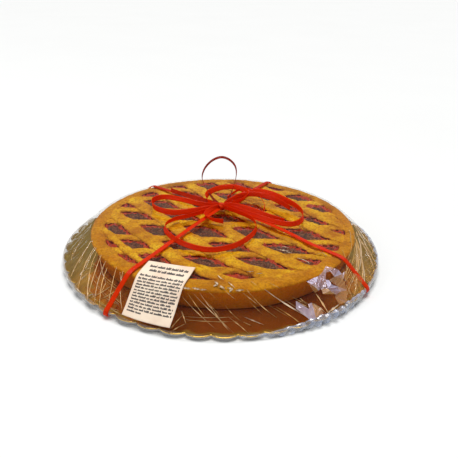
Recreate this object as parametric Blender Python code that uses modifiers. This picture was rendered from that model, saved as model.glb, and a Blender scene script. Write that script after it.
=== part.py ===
"""A jam lattice tart on a gold board, wrapped in clear film and tied with curling ribbon.

The tart is 272 mm across its rim and stands on a scalloped board of 320 mm. Clear film is
drawn flat over the rim, runs down to the edge of the board as a cone and turns in under it.
A 5 mm ribbon is tied crosswise round the parcel, with a bow of loose loops on top, and a paper
label lies on the film at the front.

Units are metres and Z is up. The origin is under the middle of the board, on the surface that
the parcel stands on.
"""

import math

import bmesh
import bpy
import numpy as np
from mathutils import Vector, noise

# Board
BOARD_RADIUS = 0.160
BOARD_THICKNESS = 0.0026
BOARD_FLAT_RADIUS = 0.137
BOARD_FOLD_RADIUS = 0.146
BOARD_FOLD_RISE = 0.0015
BOARD_EDGE_RISE = 0.005
SCALLOPS = 45
SCALLOP_DEPTH = 0.004
POINTS_PER_SCALLOP = 4
NOTCH_AZIMUTH = math.radians(267.5)

# Heights of what is stacked up, with a small gap between one piece and the next
GAP = 0.0003
RIBBON_THICKNESS = 0.0004
FILM_THICKNESS = 0.0004
LABEL_THICKNESS = 0.0003
BOARD_BOTTOM = RIBBON_THICKNESS + FILM_THICKNESS + 2 * GAP
BOARD_TOP = BOARD_BOTTOM + BOARD_THICKNESS
TART_BASE = BOARD_TOP + GAP

# Tart, which stands slightly behind the middle of the board
TART_PLACE = (0.002, 0.009)
BOARD_PLACE = (0.0, 0.0)
CRUST_SEGMENTS = 72
CRUST_HEIGHT = 0.0240
CRUST_FLOOR = 0.0110
CREST_RADIUS = 0.1305
# Outline of the crust from its base up over the rim and down to its floor: radius, height, how far
# the uneven inner edge moves the point outwards, and how far it lowers the point
CRUST_PROFILE = (
    (0.1270, 0.0000, 0.0000, 0.0000),
    (0.1285, 0.0015, 0.0000, 0.0000),
    (0.1325, 0.0120, 0.0000, 0.0000),
    (0.1355, 0.0200, 0.0000, 0.0000),
    (0.1362, 0.0212, 0.0000, 0.0000),
    (0.1357, 0.0221, 0.0000, 0.0002),
    (0.1342, 0.0231, 0.0000, 0.0004),
    (CREST_RADIUS, CRUST_HEIGHT, 0.0012, 0.0008),
    (0.1260, 0.0236, 0.0022, 0.0010),
    (0.1232, 0.0220, 0.0024, 0.0008),
    (0.1222, 0.0200, 0.0000, 0.0000),
    (0.1215, CRUST_FLOOR, 0.0000, 0.0000),
)

# Jam
JAM_RADIUS = 0.1211
JAM_HEIGHT = 0.0192
JAM_RING_RADII = (0.118, 0.090, 0.060, 0.030)
JAM_ROUGHNESS = 0.00015

# Lattice: two layers of pastry strips that meet the inner wall of the rim
STRIP_END_RADIUS = 0.1216
STRIP_BOTTOM = JAM_HEIGHT + GAP
OVER_AZIMUTH = math.radians(-54.0)
OVER_OFFSETS = (-0.108, -0.080, -0.0425, -0.005, 0.0335, 0.070, 0.099)
OVER_HALF_WIDTHS = (0.0042, 0.0078, 0.0080, 0.0078, 0.0078, 0.0076, 0.0070)
OVER_TOP = 0.0230
OVER_CROSSING_BOTTOM = 0.0215
OVER_CROSSING_TOP = 0.0238
UNDER_AZIMUTH = math.radians(-2.5)
UNDER_OFFSETS = (-0.103, -0.070, -0.0395, -0.0015, 0.031, 0.064, 0.096)
UNDER_HALF_WIDTHS = (0.0058, 0.0064, 0.0062, 0.0066, 0.0062, 0.0062, 0.0058)
UNDER_TOP = 0.0222
UNDER_CROSSING_TOP = 0.0211
CROSSING_MARGIN = 0.0015
# Cross-section of a strip: places across it, in half widths, and heights, in strip thicknesses
STRIP_SECTION = ((-0.92, 0.0), (0.92, 0.0), (1.0, 0.45), (0.62, 1.0), (-0.62, 1.0), (-1.0, 0.45))

# The parcel's outside: a flat top inside the crest, a short slope to the rim's corner, and a cone
CORNER_RADIUS = 0.1364
CORNER_HEIGHT = TART_BASE + 0.0229
FILM_SEGMENTS = 90
FILM_END_RADIUS = 0.136
FILM_OFFSET = GAP + FILM_THICKNESS / 2
OUTSIDE_FILM = GAP + FILM_THICKNESS + GAP
LABEL_OFFSET = OUTSIDE_FILM + LABEL_THICKNESS / 2
RIBBON_OFFSET = OUTSIDE_FILM + RIBBON_THICKNESS / 2

# Label, which runs from the top of the tart down to the edge of the board
LABEL_AZIMUTH = math.radians(-106.5)
LABEL_SIDEWAYS = -0.0175
LABEL_WIDTH = 0.0450
LABEL_START = 0.0945
LABEL_SKIRT_SHARE = 0.89
LABEL_RAILS = 9

# Ribbon, tied crosswise: four arms run out from the knot and meet again under the board
RIBBON_WIDTH = 0.0050
KNOT_PLACE = (0.000, 0.039)
KNOT_SIZE = (0.0085, 0.0065, 0.0042)
KNOT_HEIGHT = 0.0342
ARM_AZIMUTHS = tuple(math.radians(angle) for angle in (-120.0, -42.6, 58.0, 139.0))
HUB_RADIUS = 0.0045

# Bow: each strand's name, the direction that its width takes, and its route from the knot
UPRIGHT = (0.0, 0.0, 1.0)
LEVEL = (0.0, 1.0, 0.15)
BOW_THICKNESS = 0.0005
BOW_STEP = 0.0075
BOW_STRANDS = (
    ("front_ring", UPRIGHT, (
        (0.0020, 0.0360, 0.0345), (0.0190, 0.0200, 0.0350), (0.0320, 0.0060, 0.0340),
        (0.0355, -0.0120, 0.0330), (0.0290, -0.0320, 0.0326), (0.0120, -0.0540, 0.0326),
        (-0.0110, -0.0625, 0.0326), (-0.0340, -0.0520, 0.0326), (-0.0510, -0.0320, 0.0328),
        (-0.0575, -0.0120, 0.0330), (-0.0500, 0.0030, 0.0335), (-0.0320, 0.0150, 0.0335),
        (-0.0140, 0.0280, 0.0340), (0.0000, 0.0390, 0.0345),
    )),
    ("back_ring", UPRIGHT, (
        (-0.0020, 0.0390, 0.0345), (-0.0130, 0.0420, 0.0360), (-0.0175, 0.0560, 0.0390),
        (-0.0100, 0.0690, 0.0410), (0.0040, 0.0770, 0.0420), (0.0190, 0.0760, 0.0415),
        (0.0290, 0.0640, 0.0390), (0.0210, 0.0510, 0.0365), (0.0040, 0.0400, 0.0345),
    )),
    ("right_loop", UPRIGHT, (
        (0.0020, 0.0410, 0.0345), (0.0160, 0.0490, 0.0360), (0.0330, 0.0560, 0.0385),
        (0.0490, 0.0530, 0.0385), (0.0660, 0.0450, 0.0375), (0.0820, 0.0330, 0.0360),
        (0.0880, 0.0180, 0.0345), (0.0820, 0.0020, 0.0335), (0.0690, -0.0050, 0.0333),
        (0.0520, -0.0010, 0.0337), (0.0320, 0.0140, 0.0345), (0.0140, 0.0300, 0.0350),
        (0.0020, 0.0380, 0.0345),
    )),
    ("left_loop", UPRIGHT, (
        (-0.0020, 0.0370, 0.0340), (-0.0240, 0.0390, 0.0365), (-0.0440, 0.0460, 0.0385),
        (-0.0630, 0.0540, 0.0380), (-0.0750, 0.0520, 0.0360), (-0.0760, 0.0410, 0.0345),
        (-0.0680, 0.0290, 0.0336), (-0.0500, 0.0220, 0.0334), (-0.0280, 0.0280, 0.0338),
        (-0.0030, 0.0380, 0.0340),
    )),
    ("standing_ring", LEVEL, (
        (-0.0020, 0.0400, 0.0350), (-0.0100, 0.0540, 0.0370), (-0.0165, 0.0670, 0.0420),
        (-0.0225, 0.0740, 0.0520), (-0.0205, 0.0790, 0.0620), (-0.0125, 0.0815, 0.0712),
        (-0.0020, 0.0820, 0.0758), (0.0075, 0.0805, 0.0738), (0.0145, 0.0780, 0.0670),
        (0.0160, 0.0740, 0.0580), (0.0130, 0.0670, 0.0470), (0.0080, 0.0540, 0.0380),
        (0.0020, 0.0410, 0.0350),
    )),
    ("long_tail", UPRIGHT, (
        (0.0020, 0.0400, 0.0350), (0.0160, 0.0340, 0.0370), (0.0320, 0.0220, 0.0375),
        (0.0480, 0.0100, 0.0360), (0.0650, 0.0010, 0.0340),
    )),
    ("short_tail", UPRIGHT, (
        (-0.0010, 0.0380, 0.0345), (-0.0120, 0.0270, 0.0350), (-0.0170, 0.0140, 0.0340),
        (-0.0100, 0.0050, 0.0333), (0.0020, 0.0010, 0.0330),
    )),
)


def clear_scene():
    """Remove every object that the scene holds."""
    for item in list(bpy.data.objects):
        bpy.data.objects.remove(item, do_unlink=True)


def make_collection(name):
    """Return a new collection that is linked to the scene."""
    collection = bpy.data.collections.new(name)
    bpy.context.scene.collection.children.link(collection)
    return collection


def make_material(name, colour, roughness, metallic=0.0, alpha=1.0):
    """Return a Principled material."""
    material = bpy.data.materials.new(name)
    material.use_nodes = True
    shader = material.node_tree.nodes["Principled BSDF"]
    shader.inputs["Base Color"].default_value = (*colour, 1.0)
    shader.inputs["Roughness"].default_value = roughness
    shader.inputs["Metallic"].default_value = metallic
    shader.inputs["Alpha"].default_value = alpha
    material.diffuse_color = (*colour, alpha)
    return material


def add_object(name, mesh, material, collection):
    """Put a mesh in the scene as a named object with one material."""
    item = bpy.data.objects.new(name, mesh)
    collection.objects.link(item)
    mesh.materials.clear()
    mesh.materials.append(material)
    return item


def add_solidify(item, thickness):
    """Give an open surface an even wall, half on each side of it."""
    wall = item.modifiers.new("Wall", "SOLIDIFY")
    wall.thickness = thickness
    wall.offset = 0.0
    wall.use_even_offset = True
    return wall


def points_at(radii, azimuths, heights, centre=BOARD_PLACE):
    """Return one point for each azimuth, as an array with a row for each."""
    x = centre[0] + radii * np.cos(azimuths)
    y = centre[1] + radii * np.sin(azimuths)
    return np.column_stack([x, y, np.broadcast_to(heights, np.shape(x))])


def loft(name, rings, start="open", end="open", closed=True):
    """Join rows of points, each as long as the next, into one mesh.

    An end is "open", a flat "face", or a "point" at the middle of its row.
    """
    mesh = bpy.data.meshes.new(name)
    build = bmesh.new()
    rows = [[build.verts.new(point) for point in ring] for ring in rings]
    count = len(rows[0])
    last = count if closed else count - 1
    for lower, upper in zip(rows, rows[1:]):
        for i in range(last):
            j = (i + 1) % count
            build.faces.new((lower[i], lower[j], upper[j], upper[i]))
    if start == "face":
        build.faces.new(list(reversed(rows[0])))
    if end == "face":
        build.faces.new(rows[-1])
    if end == "point":
        middle = build.verts.new(np.mean(np.array(rings[-1]), axis=0))
        for i in range(count):
            build.faces.new((rows[-1][i], rows[-1][(i + 1) % count], middle))
    build.to_mesh(mesh)
    build.free()
    return mesh


def smooth(mesh, sharp_degrees=40.0):
    """Shade a mesh smooth except at its sharp edges."""
    mesh.shade_smooth()
    mesh.set_sharp_from_angle(angle=math.radians(sharp_degrees))


def board_rise(radius, azimuths):
    """Height that the board's edge bends up by, most at its left and right."""
    bend = np.interp(
        radius,
        [BOARD_FLAT_RADIUS, BOARD_FOLD_RADIUS, BOARD_RADIUS],
        [0.0, BOARD_FOLD_RISE, BOARD_EDGE_RISE],
    )
    return bend * np.cos(azimuths) ** 2


def scallop_radii(azimuths):
    """Radius of the board's edge: a rounded lobe between each notch and the next."""
    lobe = ((azimuths - NOTCH_AZIMUTH) * SCALLOPS / math.tau) % 1.0
    return BOARD_RADIUS - SCALLOP_DEPTH * (1.0 - np.sin(math.pi * lobe) ** 0.7)


def make_board(collection, material):
    """A thin plate with a scalloped edge, flat in the middle."""
    count = SCALLOPS * POINTS_PER_SCALLOP
    azimuths = NOTCH_AZIMUTH + np.arange(count) * math.tau / count
    edge = scallop_radii(azimuths)
    edge_rise = board_rise(BOARD_RADIUS, azimuths)
    fold = np.full(count, BOARD_FOLD_RADIUS)
    fold_rise = board_rise(BOARD_FOLD_RADIUS, azimuths)
    flat = np.full(count, BOARD_FLAT_RADIUS)
    rings = [
        points_at(flat, azimuths, BOARD_BOTTOM),
        points_at(fold, azimuths, BOARD_BOTTOM + fold_rise),
        points_at(edge, azimuths, BOARD_BOTTOM + edge_rise),
        points_at(edge, azimuths, BOARD_TOP + edge_rise),
        points_at(fold, azimuths, BOARD_TOP + fold_rise),
        points_at(flat, azimuths, BOARD_TOP),
    ]
    mesh = loft("board", rings, start="face", end="face")
    smooth(mesh)
    return add_object("board", mesh, material, collection)


def unevenness(azimuths, detail, seed):
    """Smooth noise from 0 to 1 round a circle."""
    values = [
        noise.noise(Vector((math.cos(a) * detail, math.sin(a) * detail, seed))) for a in azimuths
    ]
    return np.clip(0.5 + 0.8 * np.array(values), 0.0, 1.0)


def make_crust(collection, material):
    """The baked case: a leaning wall, a rounded uneven rim and a flat floor under the jam."""
    azimuths = np.arange(CRUST_SEGMENTS) * math.tau / CRUST_SEGMENTS
    inwards = unevenness(azimuths, 4.0, 3.7)
    lowered = unevenness(azimuths, 2.6, 8.1)
    rings = []
    for radius, height, moved, sunk in CRUST_PROFILE:
        radii = radius + moved * inwards
        rings.append(points_at(radii, azimuths, TART_BASE + height - sunk * lowered, TART_PLACE))
    mesh = loft("crust", rings, start="face", end="face")
    smooth(mesh)
    return add_object("crust", mesh, material, collection)


def make_jam(collection, material):
    """The filling, out to the inner wall of the case, with a slightly lumpy top."""
    azimuths = np.arange(CRUST_SEGMENTS) * math.tau / CRUST_SEGMENTS
    wall = np.full(CRUST_SEGMENTS, JAM_RADIUS)
    shoulder = JAM_HEIGHT - 3 * JAM_ROUGHNESS
    rings = [
        points_at(wall, azimuths, TART_BASE + CRUST_FLOOR + GAP, TART_PLACE),
        points_at(wall, azimuths, TART_BASE + shoulder, TART_PLACE),
    ]
    for number, radius in enumerate(JAM_RING_RADII):
        lumps = JAM_ROUGHNESS * (2 * unevenness(azimuths, 30 * radius, number) - 2)
        radii = np.full(CRUST_SEGMENTS, radius)
        rings.append(points_at(radii, azimuths, TART_BASE + JAM_HEIGHT + lumps, TART_PLACE))
    mesh = loft("jam", rings, start="face", end="point")
    smooth(mesh)
    return add_object("jam", mesh, material, collection)


def crossing_levels(offsets, half_widths, at_crossing, between):
    """Heights along a strip, by place across the other layer.

    The strip is level over each strip that it crosses, and reaches its other height midway.
    """
    places = []
    heights = []
    edges = [
        (offset - half - CROSSING_MARGIN, offset + half + CROSSING_MARGIN)
        for offset, half in zip(offsets, half_widths)
    ]
    for number, (near, far) in enumerate(edges):
        places += [near, far]
        heights += [at_crossing, at_crossing]
        if number + 1 < len(edges):
            places.append((far + edges[number + 1][0]) / 2)
            heights.append(between)
    outer = 2 * STRIP_END_RADIUS
    places = [-outer, places[0] - 0.010] + places + [places[-1] + 0.010, outer]
    heights = [between, between] + heights + [between, between]
    return np.array(places), np.array(heights)


def strip_mesh(name, offset, half_width, azimuth, other_azimuth, places, bottoms, tops):
    """One strip, cut at each place where its height changes and ended by the rim's circle."""
    along = np.array([math.cos(azimuth), math.sin(azimuth)])
    across = np.array([-along[1], along[0]])
    other_across = np.array([-math.sin(other_azimuth), math.cos(other_azimuth)])
    pace = along @ other_across
    shift = across @ other_across
    order = np.argsort(places / pace)
    rails = []
    for side, height in STRIP_SECTION:
        sideways = offset + side * half_width
        reach = math.sqrt(STRIP_END_RADIUS ** 2 - sideways ** 2)
        forward = np.clip((places[order] - sideways * shift) / pace, -reach, reach)
        place = sideways * shift + forward * pace
        bottom = np.interp(place, places, bottoms)
        top = np.interp(place, places, tops)
        plan = np.array(TART_PLACE) + np.outer(forward, along) + sideways * across
        level = TART_BASE + bottom + height * (top - bottom)
        rails.append(np.column_stack([plan, level]))
    rings = np.array(rails).transpose(1, 0, 2)
    mesh = loft(name, rings, start="face", end="face")
    build = bmesh.new()
    build.from_mesh(mesh)
    bmesh.ops.remove_doubles(build, verts=build.verts, dist=1e-6)
    bmesh.ops.recalc_face_normals(build, faces=build.faces)
    build.to_mesh(mesh)
    build.free()
    smooth(mesh, 60.0)
    return mesh


def make_lattice(collection, material):
    """The lower strips, which dip under the others, and the upper strips, which ride over them."""
    places, tops = crossing_levels(OVER_OFFSETS, OVER_HALF_WIDTHS, UNDER_CROSSING_TOP, UNDER_TOP)
    bottoms = np.full(len(places), STRIP_BOTTOM)
    for number, (offset, half) in enumerate(zip(UNDER_OFFSETS, UNDER_HALF_WIDTHS), start=1):
        name = f"strip_under_{number}"
        mesh = strip_mesh(
            name, offset, half, UNDER_AZIMUTH, OVER_AZIMUTH, places, bottoms, tops)
        add_object(name, mesh, material, collection)
    places, tops = crossing_levels(
        UNDER_OFFSETS, UNDER_HALF_WIDTHS, OVER_CROSSING_TOP, OVER_TOP)
    bottoms = crossing_levels(
        UNDER_OFFSETS, UNDER_HALF_WIDTHS, OVER_CROSSING_BOTTOM, STRIP_BOTTOM)[1]
    for number, (offset, half) in enumerate(zip(OVER_OFFSETS, OVER_HALF_WIDTHS), start=1):
        name = f"strip_over_{number}"
        mesh = strip_mesh(
            name, offset, half, OVER_AZIMUTH, UNDER_AZIMUTH, places, bottoms, tops)
        add_object(name, mesh, material, collection)


def mitre(before, after):
    """Where a corner of the outline moves to for each metre of offset: outwards and up."""
    first = np.array(before) / math.hypot(*before)
    second = np.array(after) / math.hypot(*after)
    return (first + second) / (1.0 + first @ second)


def wrap_rings(offset):
    """The circles that a wrapping follows at this distance outside the tart and board.

    Each is a centre in plan, a radius, a height, and whether the board's rise is added to it.
    """
    slope = (CREST_RADIUS - CORNER_RADIUS, TART_BASE + CRUST_HEIGHT - CORNER_HEIGHT)
    slope_out = (slope[1], -slope[0])
    skirt = (BOARD_RADIUS - CORNER_RADIUS, BOARD_TOP - CORNER_HEIGHT)
    skirt_out = (-skirt[1], skirt[0])
    corner = mitre(slope_out, skirt_out)
    upper_edge = mitre(skirt_out, (1.0, 0.0))
    top = TART_BASE + CRUST_HEIGHT + offset
    under = BOARD_BOTTOM - offset
    return [
        (TART_PLACE, CREST_RADIUS, top, False),
        (TART_PLACE, CORNER_RADIUS + offset * corner[0],
         CORNER_HEIGHT + offset * corner[1], False),
        (BOARD_PLACE, BOARD_RADIUS + offset * upper_edge[0],
         BOARD_TOP + offset * upper_edge[1], True),
        (BOARD_PLACE, BOARD_RADIUS + offset, under, True),
        (BOARD_PLACE, BOARD_FOLD_RADIUS, under, True),
        (BOARD_PLACE, BOARD_FLAT_RADIUS, under, True),
    ]


def ring_points(ring, azimuths, radius=None):
    """Points of a wrapping's circle, lifted where the board's edge bends up."""
    centre, own_radius, height, lifted = ring
    used = own_radius if radius is None else radius
    rise = board_rise(used, azimuths) if lifted else 0.0
    return points_at(np.full(len(azimuths), used), azimuths, height + rise, centre)


def make_film(collection, material):
    """The clear film: a thin skin over the top and skirt that ends under the board."""
    azimuths = NOTCH_AZIMUTH + np.arange(FILM_SEGMENTS) * math.tau / FILM_SEGMENTS
    rings = wrap_rings(FILM_OFFSET)
    rows = [ring_points(rings[-1], azimuths, FILM_END_RADIUS)]
    rows += [ring_points(ring, azimuths) for ring in reversed(rings[:-1])]
    mesh = loft("film", rows, end="face")
    item = add_object("film", mesh, material, collection)
    add_solidify(item, FILM_THICKNESS)
    return item


def along_rail(ring, start, heading):
    """Where a straight line in plan crosses a wrapping's circle, at that circle's height."""
    centre, radius, height, lifted = ring
    offset = np.array(start) - centre
    half = offset @ heading
    reach = -half + math.sqrt(half ** 2 - offset @ offset + radius ** 2)
    place = np.array(start) + reach * heading
    rise = board_rise(radius, math.atan2(place[1], place[0])) if lifted else 0.0
    return np.array([place[0], place[1], height + rise])


def make_label(collection, material):
    """A paper label that lies on the film from the tart's top down to the board's edge."""
    rings = wrap_rings(LABEL_OFFSET)
    heading = np.array([math.cos(LABEL_AZIMUTH), math.sin(LABEL_AZIMUTH)])
    sideways = np.array([-heading[1], heading[0]])
    rails = []
    for place in np.linspace(-LABEL_WIDTH / 2, LABEL_WIDTH / 2, LABEL_RAILS):
        start = LABEL_START * heading + (place + LABEL_SIDEWAYS) * sideways
        crest, corner, edge = (along_rail(ring, start, heading) for ring in rings[:3])
        end = corner + LABEL_SKIRT_SHARE * (edge - corner)
        rails.append([(start[0], start[1], rings[0][2]), crest, corner, end])
    mesh = loft("label", rails, closed=False)
    item = add_object("label", mesh, material, collection)
    add_solidify(item, LABEL_THICKNESS)
    return item


def make_ribbon(collection, material):
    """The tied ribbon: four arms that run from the knot round the board to meet under it."""
    rings = wrap_rings(RIBBON_OFFSET)
    mesh = bpy.data.meshes.new("ribbon")
    build = bmesh.new()
    upper_hub = []
    lower_hub = []
    for azimuth in ARM_AZIMUTHS:
        heading = np.array([math.cos(azimuth), math.sin(azimuth)])
        sideways = np.array([-heading[1], heading[0]])
        sides = []
        for side in (-RIBBON_WIDTH / 2, RIBBON_WIDTH / 2):
            start = np.array(KNOT_PLACE) + HUB_RADIUS * heading + side * sideways
            route = [(start[0], start[1], rings[0][2])]
            route += [along_rail(ring, start, heading) for ring in rings]
            route.append((start[0], start[1], rings[-1][2]))
            sides.append([build.verts.new(point) for point in route])
        right, left = sides
        for i in range(len(right) - 1):
            build.faces.new((right[i], right[i + 1], left[i + 1], left[i]))
        upper_hub += [right[0], left[0]]
        lower_hub += [right[-1], left[-1]]
    build.faces.new(upper_hub)
    build.faces.new(list(reversed(lower_hub)))
    build.to_mesh(mesh)
    build.free()
    item = add_object("ribbon", mesh, material, collection)
    add_solidify(item, RIBBON_THICKNESS)
    return item


def smooth_route(points, step):
    """Even points along a smooth curve through the given ones (Catmull-Rom)."""
    known = np.array(points)
    padded = np.vstack([2 * known[0] - known[1], known, 2 * known[-1] - known[-2]])
    fine = []
    for a, b, c, d in zip(padded, padded[1:], padded[2:], padded[3:]):
        for t in np.linspace(0.0, 1.0, 12, endpoint=False):
            fine.append(0.5 * (2 * b + (c - a) * t + (2 * a - 5 * b + 4 * c - d) * t ** 2
                               + (3 * b - a - 3 * c + d) * t ** 3))
    fine = np.array(fine + [known[-1]])
    travelled = np.append(0.0, np.cumsum(np.linalg.norm(np.diff(fine, axis=0), axis=1)))
    stops = np.linspace(0.0, travelled[-1], max(4, round(travelled[-1] / step)) + 1)
    return np.column_stack([np.interp(stops, travelled, fine[:, axis]) for axis in range(3)])


def strand_mesh(name, width_direction, points):
    """A flat strand of ribbon with a rectangular section, swept along its route."""
    route = smooth_route(points, BOW_STEP)
    heading = np.gradient(route, axis=0)
    heading /= np.linalg.norm(heading, axis=1)[:, None]
    wide = np.array(width_direction) - heading * (heading @ np.array(width_direction))[:, None]
    wide /= np.linalg.norm(wide, axis=1)[:, None]
    thin = np.cross(heading, wide)
    half_width = wide * RIBBON_WIDTH / 2
    half_thickness = thin * BOW_THICKNESS / 2
    corners = [
        route - half_width - half_thickness,
        route - half_width + half_thickness,
        route + half_width + half_thickness,
        route + half_width - half_thickness,
    ]
    mesh = loft(name, np.array(corners).transpose(1, 0, 2), start="face", end="face")
    build = bmesh.new()
    build.from_mesh(mesh)
    bmesh.ops.recalc_face_normals(build, faces=build.faces)
    build.to_mesh(mesh)
    build.free()
    return mesh


def make_knot_mesh():
    """The pulled knot: a squashed ball."""
    mesh = bpy.data.meshes.new("knot")
    build = bmesh.new()
    bmesh.ops.create_uvsphere(build, u_segments=12, v_segments=8, radius=1.0)
    bmesh.ops.scale(build, vec=KNOT_SIZE, verts=build.verts)
    bmesh.ops.translate(build, vec=(*KNOT_PLACE, KNOT_HEIGHT), verts=build.verts)
    build.to_mesh(mesh)
    build.free()
    return mesh


def make_bow(collection, material):
    """The knot with its loops and tails, joined into one solid."""
    strands = make_collection("bow_strands")
    for name, width_direction, points in BOW_STRANDS:
        add_object(name, strand_mesh(name, width_direction, points), material, strands)
    knot = add_object("knot", make_knot_mesh(), material, strands)
    strands.objects.unlink(knot)
    bpy.context.scene.collection.objects.link(knot)
    join = knot.modifiers.new("Join", "BOOLEAN")
    join.operation = "UNION"
    join.operand_type = "COLLECTION"
    join.collection = strands
    join.solver = "MANIFOLD"
    evaluated = knot.evaluated_get(bpy.context.evaluated_depsgraph_get())
    mesh = bpy.data.meshes.new_from_object(evaluated)
    mesh.name = "bow"
    for item in list(strands.objects) + [knot]:
        bpy.data.objects.remove(item, do_unlink=True)
    bpy.data.collections.remove(strands)
    return add_object("bow", mesh, material, collection)


def main():
    """Build every piece of the parcel."""
    clear_scene()
    parts = make_collection("wrapped_jam_tart")
    gold = make_material("gold_board", (0.66, 0.43, 0.10), 0.30, metallic=0.9)
    crust = make_material("crust", (0.56, 0.25, 0.04), 0.60)
    pastry = make_material("lattice_pastry", (0.70, 0.37, 0.03), 0.55)
    jam = make_material("jam", (0.09, 0.02, 0.02), 0.30)
    film = make_material("clear_film", (0.90, 0.90, 0.92), 0.08, alpha=0.2)
    paper = make_material("label_paper", (0.93, 0.80, 0.68), 0.80)
    ribbon = make_material("red_ribbon", (0.72, 0.04, 0.01), 0.25)
    make_board(parts, gold)
    make_crust(parts, crust)
    make_jam(parts, jam)
    make_lattice(parts, pastry)
    make_film(parts, film)
    make_label(parts, paper)
    make_ribbon(parts, ribbon)
    make_bow(parts, ribbon)


main()
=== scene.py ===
"""The looks of a jam lattice tart on a gold board, wrapped in clear film and tied with ribbon.

Every piece is a surface worked out with numpy in the row's frame: metres, Z up, the side with the
label towards -Y. Each sub-assembly is a class that builds its own meshes and dresses them.
"""

import logging
import math
from dataclasses import dataclass, field
from enum import Enum

import bmesh
import bpy
import numpy as np
from mathutils import Matrix, Vector

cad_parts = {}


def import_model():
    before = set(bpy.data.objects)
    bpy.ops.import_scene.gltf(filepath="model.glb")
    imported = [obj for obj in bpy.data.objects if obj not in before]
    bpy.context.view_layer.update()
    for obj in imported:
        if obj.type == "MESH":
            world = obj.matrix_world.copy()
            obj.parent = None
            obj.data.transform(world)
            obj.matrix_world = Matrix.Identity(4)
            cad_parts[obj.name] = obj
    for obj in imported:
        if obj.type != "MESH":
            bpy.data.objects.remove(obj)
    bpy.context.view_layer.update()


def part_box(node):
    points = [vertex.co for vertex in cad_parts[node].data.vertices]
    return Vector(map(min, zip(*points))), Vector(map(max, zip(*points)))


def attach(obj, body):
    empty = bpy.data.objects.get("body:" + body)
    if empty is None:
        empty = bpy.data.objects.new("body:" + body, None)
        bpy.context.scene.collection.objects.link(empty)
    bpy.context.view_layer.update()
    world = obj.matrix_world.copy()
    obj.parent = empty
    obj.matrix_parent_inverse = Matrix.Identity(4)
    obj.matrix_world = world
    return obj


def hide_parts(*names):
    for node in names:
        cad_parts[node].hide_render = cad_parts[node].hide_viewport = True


LOG = logging.getLogger("wrapped_tart")
Array = np.ndarray
MM = 0.001


def linear(code: str) -> tuple[float, float, float, float]:
    """Turn a screen colour such as "#D69A20" into the linear colour that shaders read.

    Args:
        code: The colour as six hexadecimal digits after a hash.

    Returns:
        Red, green, blue and an alpha of 1.
    """
    shares = [int(code[i:i + 2], 16) / 255 for i in (1, 3, 5)]
    bent = [s / 12.92 if s <= 0.04045 else ((s + 0.055) / 1.055) ** 2.4 for s in shares]
    return (bent[0], bent[1], bent[2], 1.0)


class Grain:
    """Seeded smooth noise on whole arrays: a table of random values, blended between its cells."""

    CELLS = 256

    def __init__(self, seed: int) -> None:
        """Fill the table from the seed."""
        self.table = np.random.default_rng(seed).random((self.CELLS, self.CELLS)) * 2 - 1

    def at(self, x: Array, y: Array) -> Array:
        """Noise from -1 to 1, with cells of side 1.

        The four corner values of a point's cell are mixed by the smooth step 3t^2 - 2t^3.

        Args:
            x: First coordinate of each point.
            y: Second coordinate of each point.

        Returns:
            The value at each point.
        """
        x, y = np.broadcast_arrays(x, y)
        left, low = np.floor(x).astype(int), np.floor(y).astype(int)
        across, up = x - left, y - low
        across, up = across * across * (3 - 2 * across), up * up * (3 - 2 * up)
        i, j = left % self.CELLS, low % self.CELLS
        k, m = (left + 1) % self.CELLS, (low + 1) % self.CELLS
        bottom = self.table[i, j] * (1 - across) + self.table[k, j] * across
        top = self.table[i, m] * (1 - across) + self.table[k, m] * across
        return bottom * (1 - up) + top * up

    def layers(self, x: Array, y: Array, count: int = 4) -> Array:
        """Sum of layers of noise, each half the height and half the cell of the one before.

        Args:
            x: First coordinate of each point.
            y: Second coordinate of each point.
            count: How many layers are summed.

        Returns:
            The sum at each point.
        """
        total = 0.0
        for step in range(count):
            total = total + self.at(x * 2 ** step + 17.3 * step, y * 2 ** step + 31.7 * step) / 2 ** step
        return total

    def ridges(self, x: Array, y: Array, count: int = 3) -> Array:
        """Layers of noise folded at zero, 1 - |n|, which leaves sharp wrinkles.

        Args:
            x: First coordinate of each point.
            y: Second coordinate of each point.
            count: How many layers are summed.

        Returns:
            Values from 0 to about 1.
        """
        total = 0.0
        for step in range(count):
            fold = 1 - np.abs(self.at(x * 2 ** step + 7.1 * step, y * 2 ** step + 3.9 * step))
            total = total + (fold ** 3) / 2 ** step
        return total / 1.75


def smooth_step(low: float, high: float, value: Array) -> Array:
    """Rise from 0 at low to 1 at high along 3t^2 - 2t^3."""
    share = np.clip((value - low) / (high - low), 0.0, 1.0)
    return share * share * (3 - 2 * share)


def lobe(azimuth: Array, middle: float, width: float) -> Array:
    """1 at the azimuth `middle`, falling off as exp(-(d / width)^2) round the circle, in degrees."""
    away = np.degrees(np.angle(np.exp(1j * (azimuth - math.radians(middle)))))
    return np.exp(-((away / width) ** 2))


def triangle_wave(value: Array) -> Array:
    """A wave of straight flanks from -1 to 1 with a period of 1."""
    return 4 * np.abs(value - np.floor(value + 0.5)) - 1


def crumple(x: Array, y: Array, size: float, seed: int, waves: int = 5) -> Array:
    """Crumpled sheet of flat facets: the mean of triangle waves that run in random directions.

    Args:
        x: First coordinate of each point.
        y: Second coordinate of each point.
        size: Rough width of a facet, in the units of x and y.
        seed: Seed of the directions and lengths.
        waves: How many waves are summed.

    Returns:
        Heights from about -1 to 1.
    """
    draw = np.random.default_rng(seed)
    total = np.zeros(np.broadcast(x, y).shape)
    for _ in range(waves):
        heading = draw.uniform(0, math.tau)
        length = size * draw.uniform(1.2, 3.2)
        shift = draw.uniform()
        total += triangle_wave((x * math.cos(heading) + y * math.sin(heading)) / length + shift)
    return total / waves * 1.6


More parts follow.
